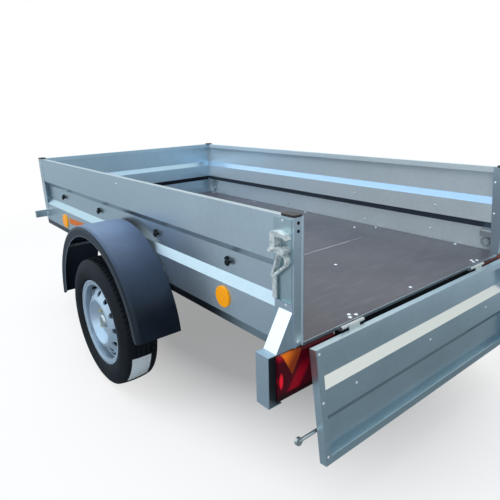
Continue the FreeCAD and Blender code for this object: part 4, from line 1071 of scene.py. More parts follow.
class Finishes:
    """All finishes of the trailer, by the record's slot names and by detail names."""

    def __init__(self) -> None:
        """Build every material once."""
        recipes = [
            SteelFinish("galvanised", (0.63, 0.715, 0.775), (0.55, 0.635, 0.70)),
            # lamp guards: a near-white painted highlight on faces that slope up
            SteelFinish("guard_steel_painted_highlight", (0.60, 0.69, 0.75), (0.52, 0.61, 0.68), slope=(1.0, 0.98, 0.97)),
            # left wall: painted shade that darkens the steel towards the front
            SteelFinish("wall_steel_painted_shade", (0.63, 0.715, 0.775), (0.55, 0.635, 0.70),
                        ahead=(-1.2, 1.0, (0.50, 0.60, 0.66))),
            # right wall inside: a lighter copy as painted light; painted shade on down folds, painted sky
            # reflection on up folds
            SteelFinish("inner_steel_painted_light", (0.84, 0.90, 0.91), (0.76, 0.82, 0.84), metallic=0.6,
                        ahead=(-1.2, 1.2, (0.76, 0.86, 0.93)),
                        facing=(((0.0, 0.79, -0.61), (0.075, 0.105, 0.14)),
                                ((0.0, 0.79, 0.61), (0.44, 0.58, 0.74)))),
            # front wall: a bluer copy of the steel as painted light, with painted shade on folds that look
            # down
            SteelFinish("front_steel_painted_light", (0.54, 0.71, 0.83), (0.47, 0.63, 0.75),
                        facing=(((-0.79, 0.0, -0.61), (0.04, 0.05, 0.066)),)),
            # tailgate: a copy of the steel as painted light, with painted shade and painted highlight on its
            # folds
            SteelFinish("gate_steel_painted_light", (0.65, 0.76, 0.82), (0.57, 0.68, 0.74),
                        facing=(((-0.889, 0.0, -0.455), (0.26, 0.31, 0.34)),
                                ((-0.736, 0.0, 0.675), (0.78, 0.79, 0.78)))),
            # sheet under the side walls: dark steel as painted shade, turning black towards the front
            SteelFinish("sill_steel_painted_shade", (0.34, 0.41, 0.45), (0.28, 0.35, 0.39), metallic=0.8,
                        ahead=(-1.46, 0.24, (0.02, 0.026, 0.034))),
            SteelFinish("plate_steel", (0.50, 0.61, 0.64), (0.43, 0.54, 0.57)),
            SteelFinish("dipped_steel", (0.46, 0.50, 0.53), (0.34, 0.38, 0.41), rough=(0.4, 0.55),
                        spangle=45.0, spangle_depth=0.2, mottle=9.0),
            SteelFinish("zinc", (0.66, 0.68, 0.69), (0.54, 0.56, 0.57), rough=(0.24, 0.36),
                        spangle=400.0, mottle=24.0),
            SteelFinish("bright_zinc", (0.90, 0.93, 0.95), (0.76, 0.79, 0.82), metallic=0.45,
                        rough=(0.2, 0.32), spangle=800.0, mottle=40.0),
            # latches: zinc mottle pushed to white and dark, partly painted highlights and painted shade
            SteelFinish("latch_zinc_and_glints", (1.0, 1.0, 1.0), (0.30, 0.38, 0.37), metallic=0.3,
                        rough=(0.16, 0.3), spangle=600.0, mottle=110.0),
            SteelFinish("yellow_zinc", (0.80, 0.74, 0.50), (0.62, 0.55, 0.32), metallic=0.7,
                        rough=(0.24, 0.38), spangle=700.0, mottle=60.0),
            # rims: painted shade, near black, on the barrel behind the disc
            SteelFinish("rim_silver", (0.56, 0.66, 0.77), (0.46, 0.56, 0.67), metallic=0.62,
                        rough=(0.34, 0.44), spangle=2500.0, mottle=12.0,
                        inside=(0.724, (0.030, 0.036, 0.045))),
            PlasticFinish("black_plastic", (0.003, 0.004, 0.006), (0.009, 0.011, 0.014), specular=0.2),
            # mudguards: a painted bluish sheen on their tops
            PlasticFinish("guard_plastic", (0.0065, 0.0105, 0.018), (0.012, 0.019, 0.034),
                          rough=(0.32, 0.42), grain=1200.0, grain_depth=0.05, specular=0.22,
                          dust=(0.108, 0.148, 0.232)),
            # mudguard lips: a lighter bead colour as a painted highlight along the edge
            PlasticFinish("guard_edge_painted_highlight", (0.10, 0.12, 0.15), (0.16, 0.19, 0.23), rough=(0.25, 0.4)),
            PlasticFinish("cap_plastic", (0.028, 0.022, 0.023), (0.045, 0.037, 0.038), rough=(0.4, 0.55),
                          specular=0.3),
            PlasticFinish("tyre_rubber", (0.003, 0.004, 0.006), (0.010, 0.012, 0.016),
                          rough=(0.5, 0.66), grain=500.0, specular=0.22),
            PlasticFinish("wheel_rubber", (0.02, 0.02, 0.022), (0.04, 0.04, 0.042), rough=(0.55, 0.7)),
            PlasticFinish("label_paper", (0.72, 0.77, 0.80), (0.58, 0.63, 0.66), rough=(0.5, 0.6),
                          grain=700.0),
            PlasticFinish("patch_film", (0.78, 0.20, 0.02), (0.50, 0.08, 0.01), rough=(0.3, 0.42),
                          grain=1500.0, grain_depth=0.03, specular=0.1),
            PlyFinish("plywood"),
            # side reflectors: a painted glow in their amber
            LensFinish("amber", (0.92, 0.40, 0.002), (0.80, 0.28, 0.001), coat=0.05, specular=0.12,
                       glow=0.22),
            LampFinish("lamp_red"),
            LensFinish("clear_lens", (0.80, 0.82, 0.84), (0.6, 0.63, 0.66)),
        ]
        self.by_name = {recipe.name: recipe.build() for recipe in recipes}
        self.fasteners = FastenerTree()
        self.beads = BeadTree()

    def dress(self, piece: bpy.types.Object, name: str) -> None:
        """Give a piece one finish in all its slots.

        Args:
            piece: The mesh object.
            name: Name of the finish.
        """
        material = self.by_name[name]
        if not piece.data.materials:
            piece.data.materials.append(material)
        for slot in piece.material_slots:
            slot.material = material

    def dress_frame(self) -> None:
        """Give every node of the frame the finish of its record slot, or a finer one."""
        finer = {"mudguard_left": "guard_plastic", "mudguard_right": "guard_plastic",
                 "post_caps": "cap_plastic", "hub_left": "zinc", "hub_right": "zinc",
                 "latch_left": "latch_zinc_and_glints", "latch_right": "latch_zinc_and_glints",
                 "side_wall_left": "wall_steel_painted_shade", "side_wall_right": "inner_steel_painted_light",
                 "front_wall": "front_steel_painted_light", "tailgate_panel": "gate_steel_painted_light",
                 "latch_plates": "plate_steel",
                 "lamp_guard_left": "guard_steel_painted_highlight", "lamp_guard_right": "guard_steel_painted_highlight"}
        slots = {part["node"]: part["material_slot"] for part in frame["record"]["subparts"]}
        for node, piece in frame["nodes"].items():
            name = finer.get(node, slots[node])
            self.dress(piece, name)
            LOG.info("dressed %s as %s", node, name)


def settle(piece: bpy.types.Object, body: Body) -> None:
    """Let a finished piece ride on its body.

    Args:
        piece: The piece.
        body: The body that it rides on.
    """
    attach(piece, body)
    LOG.info("made %s with %d faces", piece.name, len(piece.data.polygons))


def solid(
    name: str, points: Sequence[Point], faces: Sequence[Sequence[int]], material: bpy.types.Material,
    sharp: float = 35.0,
) -> bpy.types.Object:
    """Make a mesh piece with outward normals and smooth faces up to an angle.

    Args:
        name: Name of the piece.
        points: Its vertices in metres.
        faces: Its faces.
        material: Its finish.
        sharp: Angle in degrees over which an edge stays sharp.

    Returns:
        The piece.
    """
    mesh = bpy.data.meshes.new(name)
    mesh.from_pydata(points, [], faces)
    work = bmesh.new()
    work.from_mesh(mesh)
    bmesh.ops.remove_doubles(work, verts=work.verts, dist=1e-6)
    bmesh.ops.recalc_face_normals(work, faces=work.faces)
    work.to_mesh(mesh)
    work.free()
    mesh.shade_smooth()
    mesh.set_sharp_from_angle(angle=math.radians(sharp))
    mesh.materials.append(material)
    piece = bpy.data.objects.new(name, mesh)
    bpy.context.collection.objects.link(piece)
    return piece


def block_faces() -> list[tuple[int, ...]]:
    """Faces of a block whose near end is points 0 to 3 and whose far end is points 4 to 7."""
    sides = [(at, 4 + at, 4 + (at + 1) % 4, (at + 1) % 4) for at in range(4)]
    return [(0, 1, 2, 3), (7, 6, 5, 4), *sides]


def turned_faces(rings: int, sides: int) -> list[tuple[int, ...]]:
    """Faces of a turned form with both its ends filled.

    Args:
        rings: Rings of points, from one end to the other.
        sides: Points in a ring.

    Returns:
        The faces.
    """
    faces: list[tuple[int, ...]] = []
    for ring in range(rings - 1):
        for at in range(sides):
            beside = (at + 1) % sides
            faces.append((ring * sides + at, ring * sides + beside,
                          (ring + 1) * sides + beside, (ring + 1) * sides + at))
    faces.append(tuple(range(sides)))
    faces.append(tuple((rings - 1) * sides + at for at in range(sides)))
    return faces


def ring_faces(rows: int, columns: int) -> list[tuple[int, int, int, int]]:
    """Faces of a grid of points that closes in both directions.

    Args:
        rows: Rows of points.
        columns: Points in a row.

    Returns:
        The faces.
    """
    faces: list[tuple[int, int, int, int]] = []
    for row in range(rows):
        following = (row + 1) % rows
        for column in range(columns):
            beside = (column + 1) % columns
            faces.append((row * columns + column, row * columns + beside,
                          following * columns + beside, following * columns + column))
    return faces


def plate_faces(rows: int, across: int) -> list[tuple[int, ...]]:
    """Faces of a thin closed plate between two equal grids of points.

    Args:
        rows: Rows of points in a grid.
        across: Points in a row.

    Returns:
        The faces, with the inner grid's points after the outer grid's.
    """
    count = rows * across
    faces: list[tuple[int, ...]] = []
    for row in range(rows - 1):
        for column in range(across - 1):
            at = row * across + column
            quad = (at, at + 1, at + across + 1, at + across)
            faces.append(quad)
            faces.append(tuple(count + corner for corner in reversed(quad)))
    rim = list(range(across))
    rim += [row * across + across - 1 for row in range(1, rows)]
    rim += [count - 1 - column for column in range(1, across)]
    rim += [row * across for row in range(rows - 2, 0, -1)]
    for at, corner in enumerate(rim):
        beside = rim[(at + 1) % len(rim)]
        faces.append((corner, beside, count + beside, count + corner))
    return faces


@dataclass
class Bed:
    """Where the bed stands, from the frame's own boxes, in metres.

    Attributes:
        rear: Rear end of the side walls.
        floor: Top of the floor.
    """

    rear: float
    floor: float

    @classmethod
    def read(cls) -> Bed:
        """Take the bed's rear end and floor level from the frame."""
        return cls(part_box("side_wall_left")[0][0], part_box("floor_rear")[1][2])

    def at(self, along: float, across: float, up: float) -> Point:
        """A point given in millimetres from the bed's rear end, middle and floor."""
        return (self.rear + along * MM, across * MM, self.floor + up * MM)


@dataclass
class Fittings:
    """Rivets, bolts and small films on the walls, posts, floor and lamps.

    Places are millimetres along the bed from its rear end, across from its middle and up from its floor.

    Attributes:
        finishes: The trailer's finishes.
        bed: Where the bed stands.
        floor_spots: Bolts through the floor, along and across.
        hinge_middles: Middles of the two hinges, across.
        hinge_spots: Bolts of a hinge, along and across from its middle.
        hook_along: Rope hooks along a side wall.
        hook_up: Height of the rope hooks.
        rib: Outer face of the wall's rib, across.
        rib_back: The rib's inner face, across.
        lobe: Second lobe of a rope hook from its head: along, out of the rib and up.
        wall_spots: Rivets of the left wall and posts, with the way that each looks.
        plate_spots: Small rivets of the left latch's plates.
        plug_up: Heights of the rear post's plugs.
        plug_back: Place of the plugs behind the wall's end, and across.
        drawbar_bolts: Bolts under a drawbar tube, from its rear end.
        drawbar_half: Half width of a drawbar tube.
        axle_beside: Distance of the axle's bolts before and behind its tube.
        coupling_bolts: Bolts of the coupling plate, from its rear edge and from the middle.
        lens_screw: Rear lamp's outer screw from the lens's outer edge and lower edge.
        lens_inner: Rear lamp's inner screw, across.
        marker_screws: Screws of a front marker, across.
        face: Outer face of a side wall, across.
        film: Corners of the blank film on a side wall, along and up.
        film_depth: The film's outer and inner face from the wall's face.
        lenses: Side reflectors: along, up and radius.
        lens_form: Turned form of a reflector: distance from the wall and share of the radius.
        lens_sides: Sides of a reflector.
        sill_along: Ends of the sheet of painted shade under a side wall.
        sill_section: Section of that sheet, from the wall's face and up.
    """

    finishes: Finishes
    bed: Bed
    floor_spots: tuple[tuple[float, float], ...] = (
        (30, 9), (363, 14), (1047, 12), (1585, 12), (2060, 12), (186, -577), (609, -574), (1114, -574),
        (1585, -574), (2060, -574), (685, -499), (609, 574), (1114, 574), (1585, 574), (2060, 574))
    hinge_middles: tuple[float, float] = (335, -411)
    hinge_spots: tuple[tuple[float, float], ...] = ((29, 0), (15, -16), (14, 13))
    hook_along: tuple[float, ...] = (297, 755, 1312, 1807)
    hook_up: float = 160
    rib: float = 575.5
    rib_back: float = 574.5
    lobe: tuple[float, float, float] = (13, 1.5, 9)
    wall_spots: tuple[tuple[float, float, float, Facing], ...] = (
        (324, 595.5, 44, Facing.IN), (1809, 595.5, 44, Facing.IN), (700, 595.5, 25, Facing.IN),
        (1280, 595.5, 25, Facing.IN), (1047, 597, 320, Facing.OUT), (25, 600.5, 112, Facing.OUT),
        (46, 574, 288, Facing.IN), (36, 574, 161, Facing.IN), (2108, 598.5, 30, Facing.OUT),
        (2108, 598.5, 190, Facing.OUT), (2108, 598.5, 320, Facing.OUT), (-1.5, 581, 8, Facing.BACK))
    plate_spots: tuple[Point, ...] = (
        (35.5, 600.5, 338), (58, 608.5, 188), (58, 608.5, 160), (58, 608.5, 132))
    plug_up: tuple[float, float] = (334, 313)
    plug_back: tuple[float, float] = (-1.5, 580)
    drawbar_bolts: tuple[float, ...] = (120, 500, 980)
    drawbar_half: float = 20
    axle_beside: float = 18
    coupling_bolts: tuple[tuple[float, float], ...] = ((28, 60), (98, 52))
    lens_screw: tuple[float, float] = (12, 18)
    lens_inner: float = 452
    marker_screws: tuple[float, float] = (620, 645)
    face: float = 597
    film: tuple[tuple[float, float], ...] = ((1722, 34), (1548, 38), (1507, 72), (1722, 64))
    film_depth: tuple[float, float] = (0.35, -0.2)
    lenses: tuple[tuple[str, float, float, float], ...] = (("rear", 313, 47, 35), ("front", 1787, 36, 37))
    lens_form: tuple[tuple[float, float], ...] = (
        (-0.4, 0.97), (4.6, 1.0), (6.0, 0.96), (6.4, 0.90), (5.8, 0.86), (6.2, 0.80), (6.8, 0.5),
        (6.9, 0.12), (6.2, 0.09), (6.2, 0.02))
    lens_sides: int = 40
    sill_along: tuple[float, float] = (95, 2126)
    sill_section: tuple[tuple[float, float], ...] = ((0.9, -6), (-1.6, -33), (-3.1, -33), (-0.5, -6))

    def build(self) -> None:
        """Make every fitting of the chassis."""
        self.floor_bolts()
        self.wall_rivets()
        self.latch_rivets()
        self.hook_feet()
        self.frame_bolts()
        self.lens_screws()
        self.films()
        self.reflectors()
        self.sills()

    def heads(
        self, name: str, left: Sequence[tuple[Point, Point]], head: Head, finish: str, slot: str = "zinc"
    ) -> None:
        """Make one piece of fasteners on both halves of the trailer.

        Args:
            name: Name of the piece.
            left: Point and facing of each head on the left half.
            head: Kind of head.
            finish: Name of the finish.
            slot: Not used.
        """
        right = [((p[0], -p[1], p[2]), (n[0], -n[1], n[2])) for p, n in left]
        piece = self.finishes.fasteners.place(name, [*left, *right], head, self.finishes.by_name[finish])
        settle(piece, Body.CHASSIS)

    def floor_bolts(self) -> None:
        """Bright bolt heads on the floor: over the hinges and the cross members."""
        places = list(self.floor_spots)
        for middle in self.hinge_middles:
            places += [(along, middle + beside) for along, beside in self.hinge_spots]
        spots = [(self.bed.at(along, across, 0), Facing.UP.value) for along, across in places]
        heads = self.finishes.fasteners.place(
            "floor_bolt_heads", spots, Head.FLOOR_BOLT, self.finishes.by_name["bright_zinc"])
        settle(heads, Body.CHASSIS)

    def wall_rivets(self) -> None:
        """Rivets through walls and posts, seen from outside and inside."""
        spots = [(self.bed.at(along, self.rib_back, self.hook_up), Facing.IN.value)
                 for along in self.hook_along]
        spots += [(self.bed.at(*place), way.value) for *place, way in self.wall_spots]
        self.heads("wall_rivets", spots, Head.RIVET, "bright_zinc")

    def latch_rivets(self) -> None:
        """Small rivets of the latches, and the plugs of the posts that carry them."""
        spots = [(self.bed.at(*place), Facing.OUT.value) for place in self.plate_spots]
        self.heads("latch_rivets", spots, Head.SMALL_RIVET, "bright_zinc")
        plugs = [(self.bed.at(*self.plug_back, up), Facing.BACK.value) for up in self.plug_up]
        self.heads("post_plugs", plugs, Head.PLUG, "black_plastic", "black_plastic")

    def hook_feet(self) -> None:
        """Short second lobe of each rope hook, beside its head."""
        beside, out, above = self.lobe
        spots = [(self.bed.at(along + beside, self.rib + out, self.hook_up + above), Facing.OUT.value)
                 for along in self.hook_along]
        self.heads("rope_hook_feet", spots, Head.HOOK_FOOT, "black_plastic", "black_plastic")

    def frame_bolts(self) -> None:
        """Hex bolts at the drawbar, axle and coupling."""
        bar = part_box("drawbar_left")[0]
        axle_low, axle_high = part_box("axle_tube")
        places = [bar[0] + along * MM for along in self.drawbar_bolts]
        places += [axle_low[0] - self.axle_beside * MM, axle_high[0] + self.axle_beside * MM]
        spots = [((along, self.drawbar_y(along), bar[2]), Facing.DOWN.value) for along in places]
        low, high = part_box("coupling_plate")
        spots += [((low[0] + along * MM, across * MM, high[2]), Facing.UP.value)
                  for along, across in self.coupling_bolts]
        self.heads("frame_bolts", spots, Head.HEX_BOLT, "zinc")

    def drawbar_y(self, along: float) -> float:
        """Find the middle line of the left drawbar tube, which leans in towards the coupling.

        Args:
            along: Place along the trailer in metres.

        Returns:
            Distance of the line from the trailer's middle in metres.
        """
        low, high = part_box("drawbar_left")
        share = (along - low[0]) / (high[0] - low[0])
        half = self.drawbar_half * MM
        return high[1] - half - share * (high[1] - low[1] - 2 * half)

    def lens_screws(self) -> None:
        """Screws in the rear lamps' and front markers' lenses."""
        aside, above = self.lens_screw
        low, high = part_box("lamp_lenses")
        spots = [((low[0], across, low[2] + above * MM), Facing.BACK.value)
                 for across in (high[1] - aside * MM, self.lens_inner * MM)]
        low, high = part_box("marker_lenses")
        spots += [((high[0], across * MM, (low[2] + high[2]) / 2), Facing.AHEAD.value)
                  for across in self.marker_screws]
        self.heads("lens_screws", spots, Head.SCREW, "black_plastic", "black_plastic")

    def films(self) -> None:
        """Blank coloured film on each side wall, behind the front reflector."""
        for side in Side:
            points = [self.bed.at(x, side.value * (self.face + out), z)
                      for out in self.film_depth for x, z in self.film]
            film = solid(f"wall_film_{side.word}", points, block_faces(),
                         self.finishes.by_name["patch_film"])
            settle(film, Body.CHASSIS)

    def reflectors(self) -> None:
        """Round side reflectors with a raised rim, a ring of prisms and a hub."""
        faces = turned_faces(len(self.lens_form), self.lens_sides)
        turns = [math.tau * at / self.lens_sides for at in range(self.lens_sides)]
        for side in Side:
            for place, along, up, size in self.lenses:
                points = [self.bed.at(along + size * share * math.cos(turn), side.value * (self.face + out),
                                      up + size * share * math.sin(turn))
                          for out, share in self.lens_form for turn in turns]
                lens = solid(f"reflector_{place}_{side.word}", points, faces,
                             self.finishes.by_name["amber"], sharp=30.0)
                if side is Side.LEFT and place == "rear":
                    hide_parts("side_reflectors")
                settle(lens, Body.CHASSIS)

    def sills(self) -> None:
        """Thin sheet over each side wall's lower fold, dark as painted shade and black towards the front."""
        for side in Side:
            points = [self.bed.at(along, side.value * (self.face + out), up)
                      for along in self.sill_along for out, up in self.sill_section]
            shade_sheet = solid(f"side_sill_{side.word}", points, block_faces(),
                         self.finishes.by_name["sill_steel_painted_shade"])
            settle(shade_sheet, Body.CHASSIS)


@dataclass
class Gate:
    """Rivets on the hanging tailgate.

    Places are millimetres on the closed tailgate: ahead of the hinge pins, across from the trailer's
    middle and up from the pins.

    Attributes:
        finishes: The trailer's finishes.
        bed: Where the bed stands.
        hang: Angle in degrees that the tailgate has swung down.
        pin_back: Distance of the pins behind the bed.
        pin_drop: Distance of the pins under the floor's top.
        inner: Inner face of the end folds.
        end: Middle of an end fold, across.
        end_up: Rivets of an end fold.
        leaf: Rear face of the hinge leaves.
        leaf_across: Rivets of a hinge leaf, across.
        leaf_up: Rivets of a hinge leaf, up.
        rib: Inner face of the rib.
        rib_across: Rivets of the rib, across.
        rib_up: Height of the rib's rivets.
    """

    finishes: Finishes
    bed: Bed
    hang: float = 172.3
    pin_back: float = 12
    pin_drop: float = 4
    inner: float = 34
    end: float = 548
    end_up: tuple[float, ...] = (24, 166, 330)
    leaf: float = 6
    leaf_across: tuple[float, float] = (352, 388)
    leaf_up: tuple[float, float] = (18, 36)
    rib: float = 28.5
    rib_across: tuple[float, ...] = (402, 12, -380)
    rib_up: float = 165

    def build(self) -> None:
        """Make the tailgate's rivets."""
        spots = []
        for side in Side:
            spots += [self.turned(self.inner, side.value * self.end, up, 1.0) for up in self.end_up]
            spots += [self.turned(self.leaf, side.value * across, up, -1.0)
                      for across in self.leaf_across for up in self.leaf_up]
        spots += [self.turned(self.rib, across, self.rib_up, 1.0) for across in self.rib_across]
        rivets = self.finishes.fasteners.place(
            "tailgate_rivets", spots, Head.RIVET, self.finishes.by_name["bright_zinc"])
        settle(rivets, Body.TAILGATE)

    def turned(self, depth: float, across: float, up: float, facing: float) -> tuple[Point, Point]:
        """Swing a spot of the closed tailgate down to where it hangs.

        Args:
            depth: Place ahead of the pins.
            across: Place across the trailer.
            up: Place above the pins.
            facing: 1 for a head that looks into the bed when the tailgate is closed, -1 for one that
                looks out.

        Returns:
            The head's point and facing on the hanging tailgate.
        """
        angle = math.radians(self.hang)
        cos, sin = math.cos(angle), math.sin(angle)
        x, z = depth * cos - up * sin, depth * sin + up * cos
        point = self.bed.at(x - self.pin_back, across, z - self.pin_drop)
        return point, (facing * cos, 0.0, facing * sin)


@dataclass
class Wheel:
    """One road wheel: grooved tyre, bolts, valve and blank label.

    Sizes are millimetres. Places are the distance outwards from the wheel's middle plane, the radius and
    the angle in degrees from the front.

    Attributes:
        finishes: The trailer's finishes.
        side: Side of the trailer.
        radius: Radius of the tread's middle.
        tread: Half width of the tread.
        crown_drop: How much lower the tread's edge is than its middle.
        crown_power: Power by which the tread falls away.
        flank: Outline of the tyre's side from the bead up: place and radius.
        shoulder: Outline from there to the tread.
        edge_cut: How far a cross cut lowers the tread's edge.
        outer_cuts: The same on the outer rib: place and depth.
        rib_cut: The same on the inner ribs.
        grooves: Middles of the grooves.
        groove_half: Half width of a groove.
        groove_lean: Lean of a groove's walls, to each side.
        groove_depth: Depth of a groove.
        blocks: Cross cuts round the tyre.
        cut_steps: Shares of a block's length, each with the share of the cut's depth there.
        cut_skew: Skew of a cut at the tread's edge, in blocks.
        bolts: Number of wheel bolts.
        bolt_circle: Radius of the circle that they stand on.
        bolt_turn: Angle of the first bolt.
        disc: Place of the disc's face.
        valve_at: Foot of the valve.
        valve_lean: Lean of the valve towards the axle.
        valve_form: Turned form of the valve: height and radius.
        valve_sides: Sides of the valve.
        label_along: Inner and outer edge of the label.
        label_low: Angle of the label's lower end.
        label_high: Angles of its upper end, at its two edges.
        label_depth: The label's outer and inner face from the tread.
        label_grid: Points across and round the label.
        centre: Middle of the tyre in metres.
        body: Body that the wheel's pieces ride on.
    """

    finishes: Finishes
    side: Side
    radius: float = 273.8
    tread: float = 59.0
    crown_drop: float = 5.4
    crown_power: float = 2.4
    flank: tuple[tuple[float, float], ...] = (
        (50.0, 165.3), (57.5, 181.0), (61.5, 185.5), (65.5, 188.0), (68.5, 192.0), (71.0, 198.5),
        (72.4, 200.5), (73.4, 203.5), (74.2, 206.0), (76.6, 214.0), (77.4, 223.0), (77.0, 232.0),
        (76.2, 236.0), (75.6, 239.0), (73.6, 243.5), (70.8, 252.0), (67.6, 258.0))
    shoulder: tuple[tuple[float, float], ...] = ((65.0, 262.5), (62.6, 265.6))
    edge_cut: float = 0.5
    outer_cuts: tuple[tuple[float, float], ...] = ((50.0, 1.6), (40.0, 2.6))
    rib_cut: float = 1.6
    grooves: tuple[float, ...] = (-31.0, -10.5, 10.5, 31.0)
    groove_half: float = 2.9
    groove_lean: float = 0.6
    groove_depth: float = 5.5
    blocks: int = 76
    cut_steps: tuple[tuple[float, float], ...] = ((0.0, 0.0), (0.66, 0.0), (0.72, 1.0), (0.94, 1.0))
    cut_skew: float = 0.25
    bolts: int = 4
    bolt_circle: float = 49.0
    bolt_turn: float = 45.0
    disc: float = 33.5
    valve_at: tuple[float, float, float] = (18.0, 154.0, 62.0)
    valve_lean: float = 0.30
    valve_form: tuple[tuple[float, float], ...] = (
        (0.0, 5.6), (12.0, 5.2), (16.0, 3.9), (22.0, 3.9), (22.5, 4.6), (34.0, 4.4), (35.0, 3.4))
    valve_sides: int = 14
    label_along: tuple[float, float] = (-33.0, 46.0)
    label_low: float = -165.0
    label_high: tuple[float, float] = (-138.0, -133.0)
    label_depth: tuple[float, float] = (0.5, -0.6)
    label_grid: tuple[int, int] = (7, 15)
    centre: Point = field(init=False)
    body: Body = field(init=False)

    def __post_init__(self) -> None:
        """Read the wheel's centre from the frame and name its body."""
        low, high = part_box(f"tyre_{self.side.word}")
        self.centre = tuple((a + b) / 2 for a, b in zip(low, high))
        self.body = Body.WHEEL_LEFT if self.side is Side.LEFT else Body.WHEEL_RIGHT

    def build(self) -> None:
        """Make the wheel's pieces."""
        self.tyre()
        self.wheel_bolts()
        self.valve()
        self.label()

    def spot(self, outward: float, radius: float, angle: float) -> Point:
        """Place a point on the wheel.

        Args:
            outward: Distance outwards from the middle plane.
            radius: Distance from the axle's line.
            angle: Angle in degrees from the front.

        Returns:
            The point in metres.
        """
        turn = math.radians(angle)
        return (
            self.centre[0] + radius * MM * math.cos(turn),
            self.centre[1] + self.side.value * outward * MM,
            self.centre[2] + radius * MM * math.sin(turn),
        )

    def crown(self, along: float) -> float:
        """Radius of the tread at a distance from the tyre's middle."""
        return self.radius - self.crown_drop * (abs(along) / self.tread) ** self.crown_power

    def section(self) -> list[tuple[float, float, float]]:
        """Outline the tyre from its outer bead over the tread to its inner one.

        Returns:
            Place, radius and how far a cross cut lowers it, point by point.
        """
        rows = [(place, radius, 0.0) for place, radius in (*self.flank, *self.shoulder)]
        rows.append((self.tread, self.crown(self.tread), self.edge_cut))
        rows += [(place, self.crown(place), cut) for place, cut in self.outer_cuts]
        mirrored = [(-place, radius, cut) for place, radius, cut in reversed(rows)]
        wide, narrow = self.groove_half + self.groove_lean, self.groove_half - self.groove_lean
        for groove in reversed(self.grooves):
            for offset, drop in ((wide, 0.0), (narrow, self.groove_depth),
                                 (-narrow, self.groove_depth), (-wide, 0.0)):
                place = groove + offset
                rows.append((place, self.crown(place) - drop, 0.0 if drop else self.rib_cut))
        return rows + mirrored

    def tyre(self) -> None:
        """Tyre with grooves round it and cross cuts in its shoulders."""
        period = 360 / self.blocks
        section = self.section()
        points: list[Point] = []
        for block in range(self.blocks):
            for share, cut in self.cut_steps:
                for along, radius, depth in section:
                    skew = self.cut_skew * period * along / self.tread if depth else 0.0
                    angle = (block + share) * period + skew
                    points.append(self.spot(along, radius - cut * depth, angle))
        rows = self.blocks * len(self.cut_steps)
        tyre = solid(f"tyre_tread_{self.side.word}", points, ring_faces(rows, len(section)),
                     self.finishes.by_name["tyre_rubber"], sharp=28.0)
        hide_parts(f"tyre_{self.side.word}")
        settle(tyre, self.body)

    def wheel_bolts(self) -> None:
        """Wheel bolts in the disc's cup."""
        out = (0.0, float(self.side.value), 0.0)
        turns = [self.bolt_turn + at * 360 / self.bolts for at in range(self.bolts)]
        spots = [(self.spot(self.disc, self.bolt_circle, turn), out) for turn in turns]
        bolts = self.finishes.fasteners.place(
            f"wheel_bolts_{self.side.word}", spots, Head.WHEEL_BOLT, self.finishes.by_name["yellow_zinc"],
            seed=3)
        settle(bolts, self.body)

    def valve(self) -> None:
        """Rubber valve stem with its cap, out of the rim's slope."""
        foot = Vector(self.spot(*self.valve_at))
        turn = math.radians(self.valve_at[2])
        radial = Vector((math.cos(turn), 0, math.sin(turn)))
        aim = (Vector((0, self.side.value, 0)) - self.valve_lean * radial).normalized()
        first = aim.orthogonal().normalized()
        second = aim.cross(first)
        points: list[Point] = []
        for up, radius in self.valve_form:
            for step in range(self.valve_sides):
                turn = math.tau * step / self.valve_sides
                ring = first * math.cos(turn) + second * math.sin(turn)
                points.append(tuple(foot + aim * up * MM + ring * radius * MM))
        stem = solid(f"valve_{self.side.word}", points, turned_faces(len(self.valve_form), self.valve_sides),
                     self.finishes.by_name["black_plastic"])
        settle(stem, self.body)

    def label(self) -> None:
        """Blank paper label across the tread."""
        across, around = self.label_grid
        inner, outer = self.label_along
        first, last = self.label_high
        points: list[Point] = []
        for lift in self.label_depth:
            for row in range(around):
                for column in range(across):
                    aside = column / (across - 1)
                    along = inner + (outer - inner) * aside
                    high = first + (last - first) * aside
                    angle = self.label_low + (high - self.label_low) * row / (around - 1)
                    points.append(self.spot(along, self.crown(along) + lift, angle))
        label = solid(f"tyre_label_{self.side.word}", points, plate_faces(around, across),
                      self.finishes.by_name["label_paper"], sharp=60.0)
        settle(label, self.body)


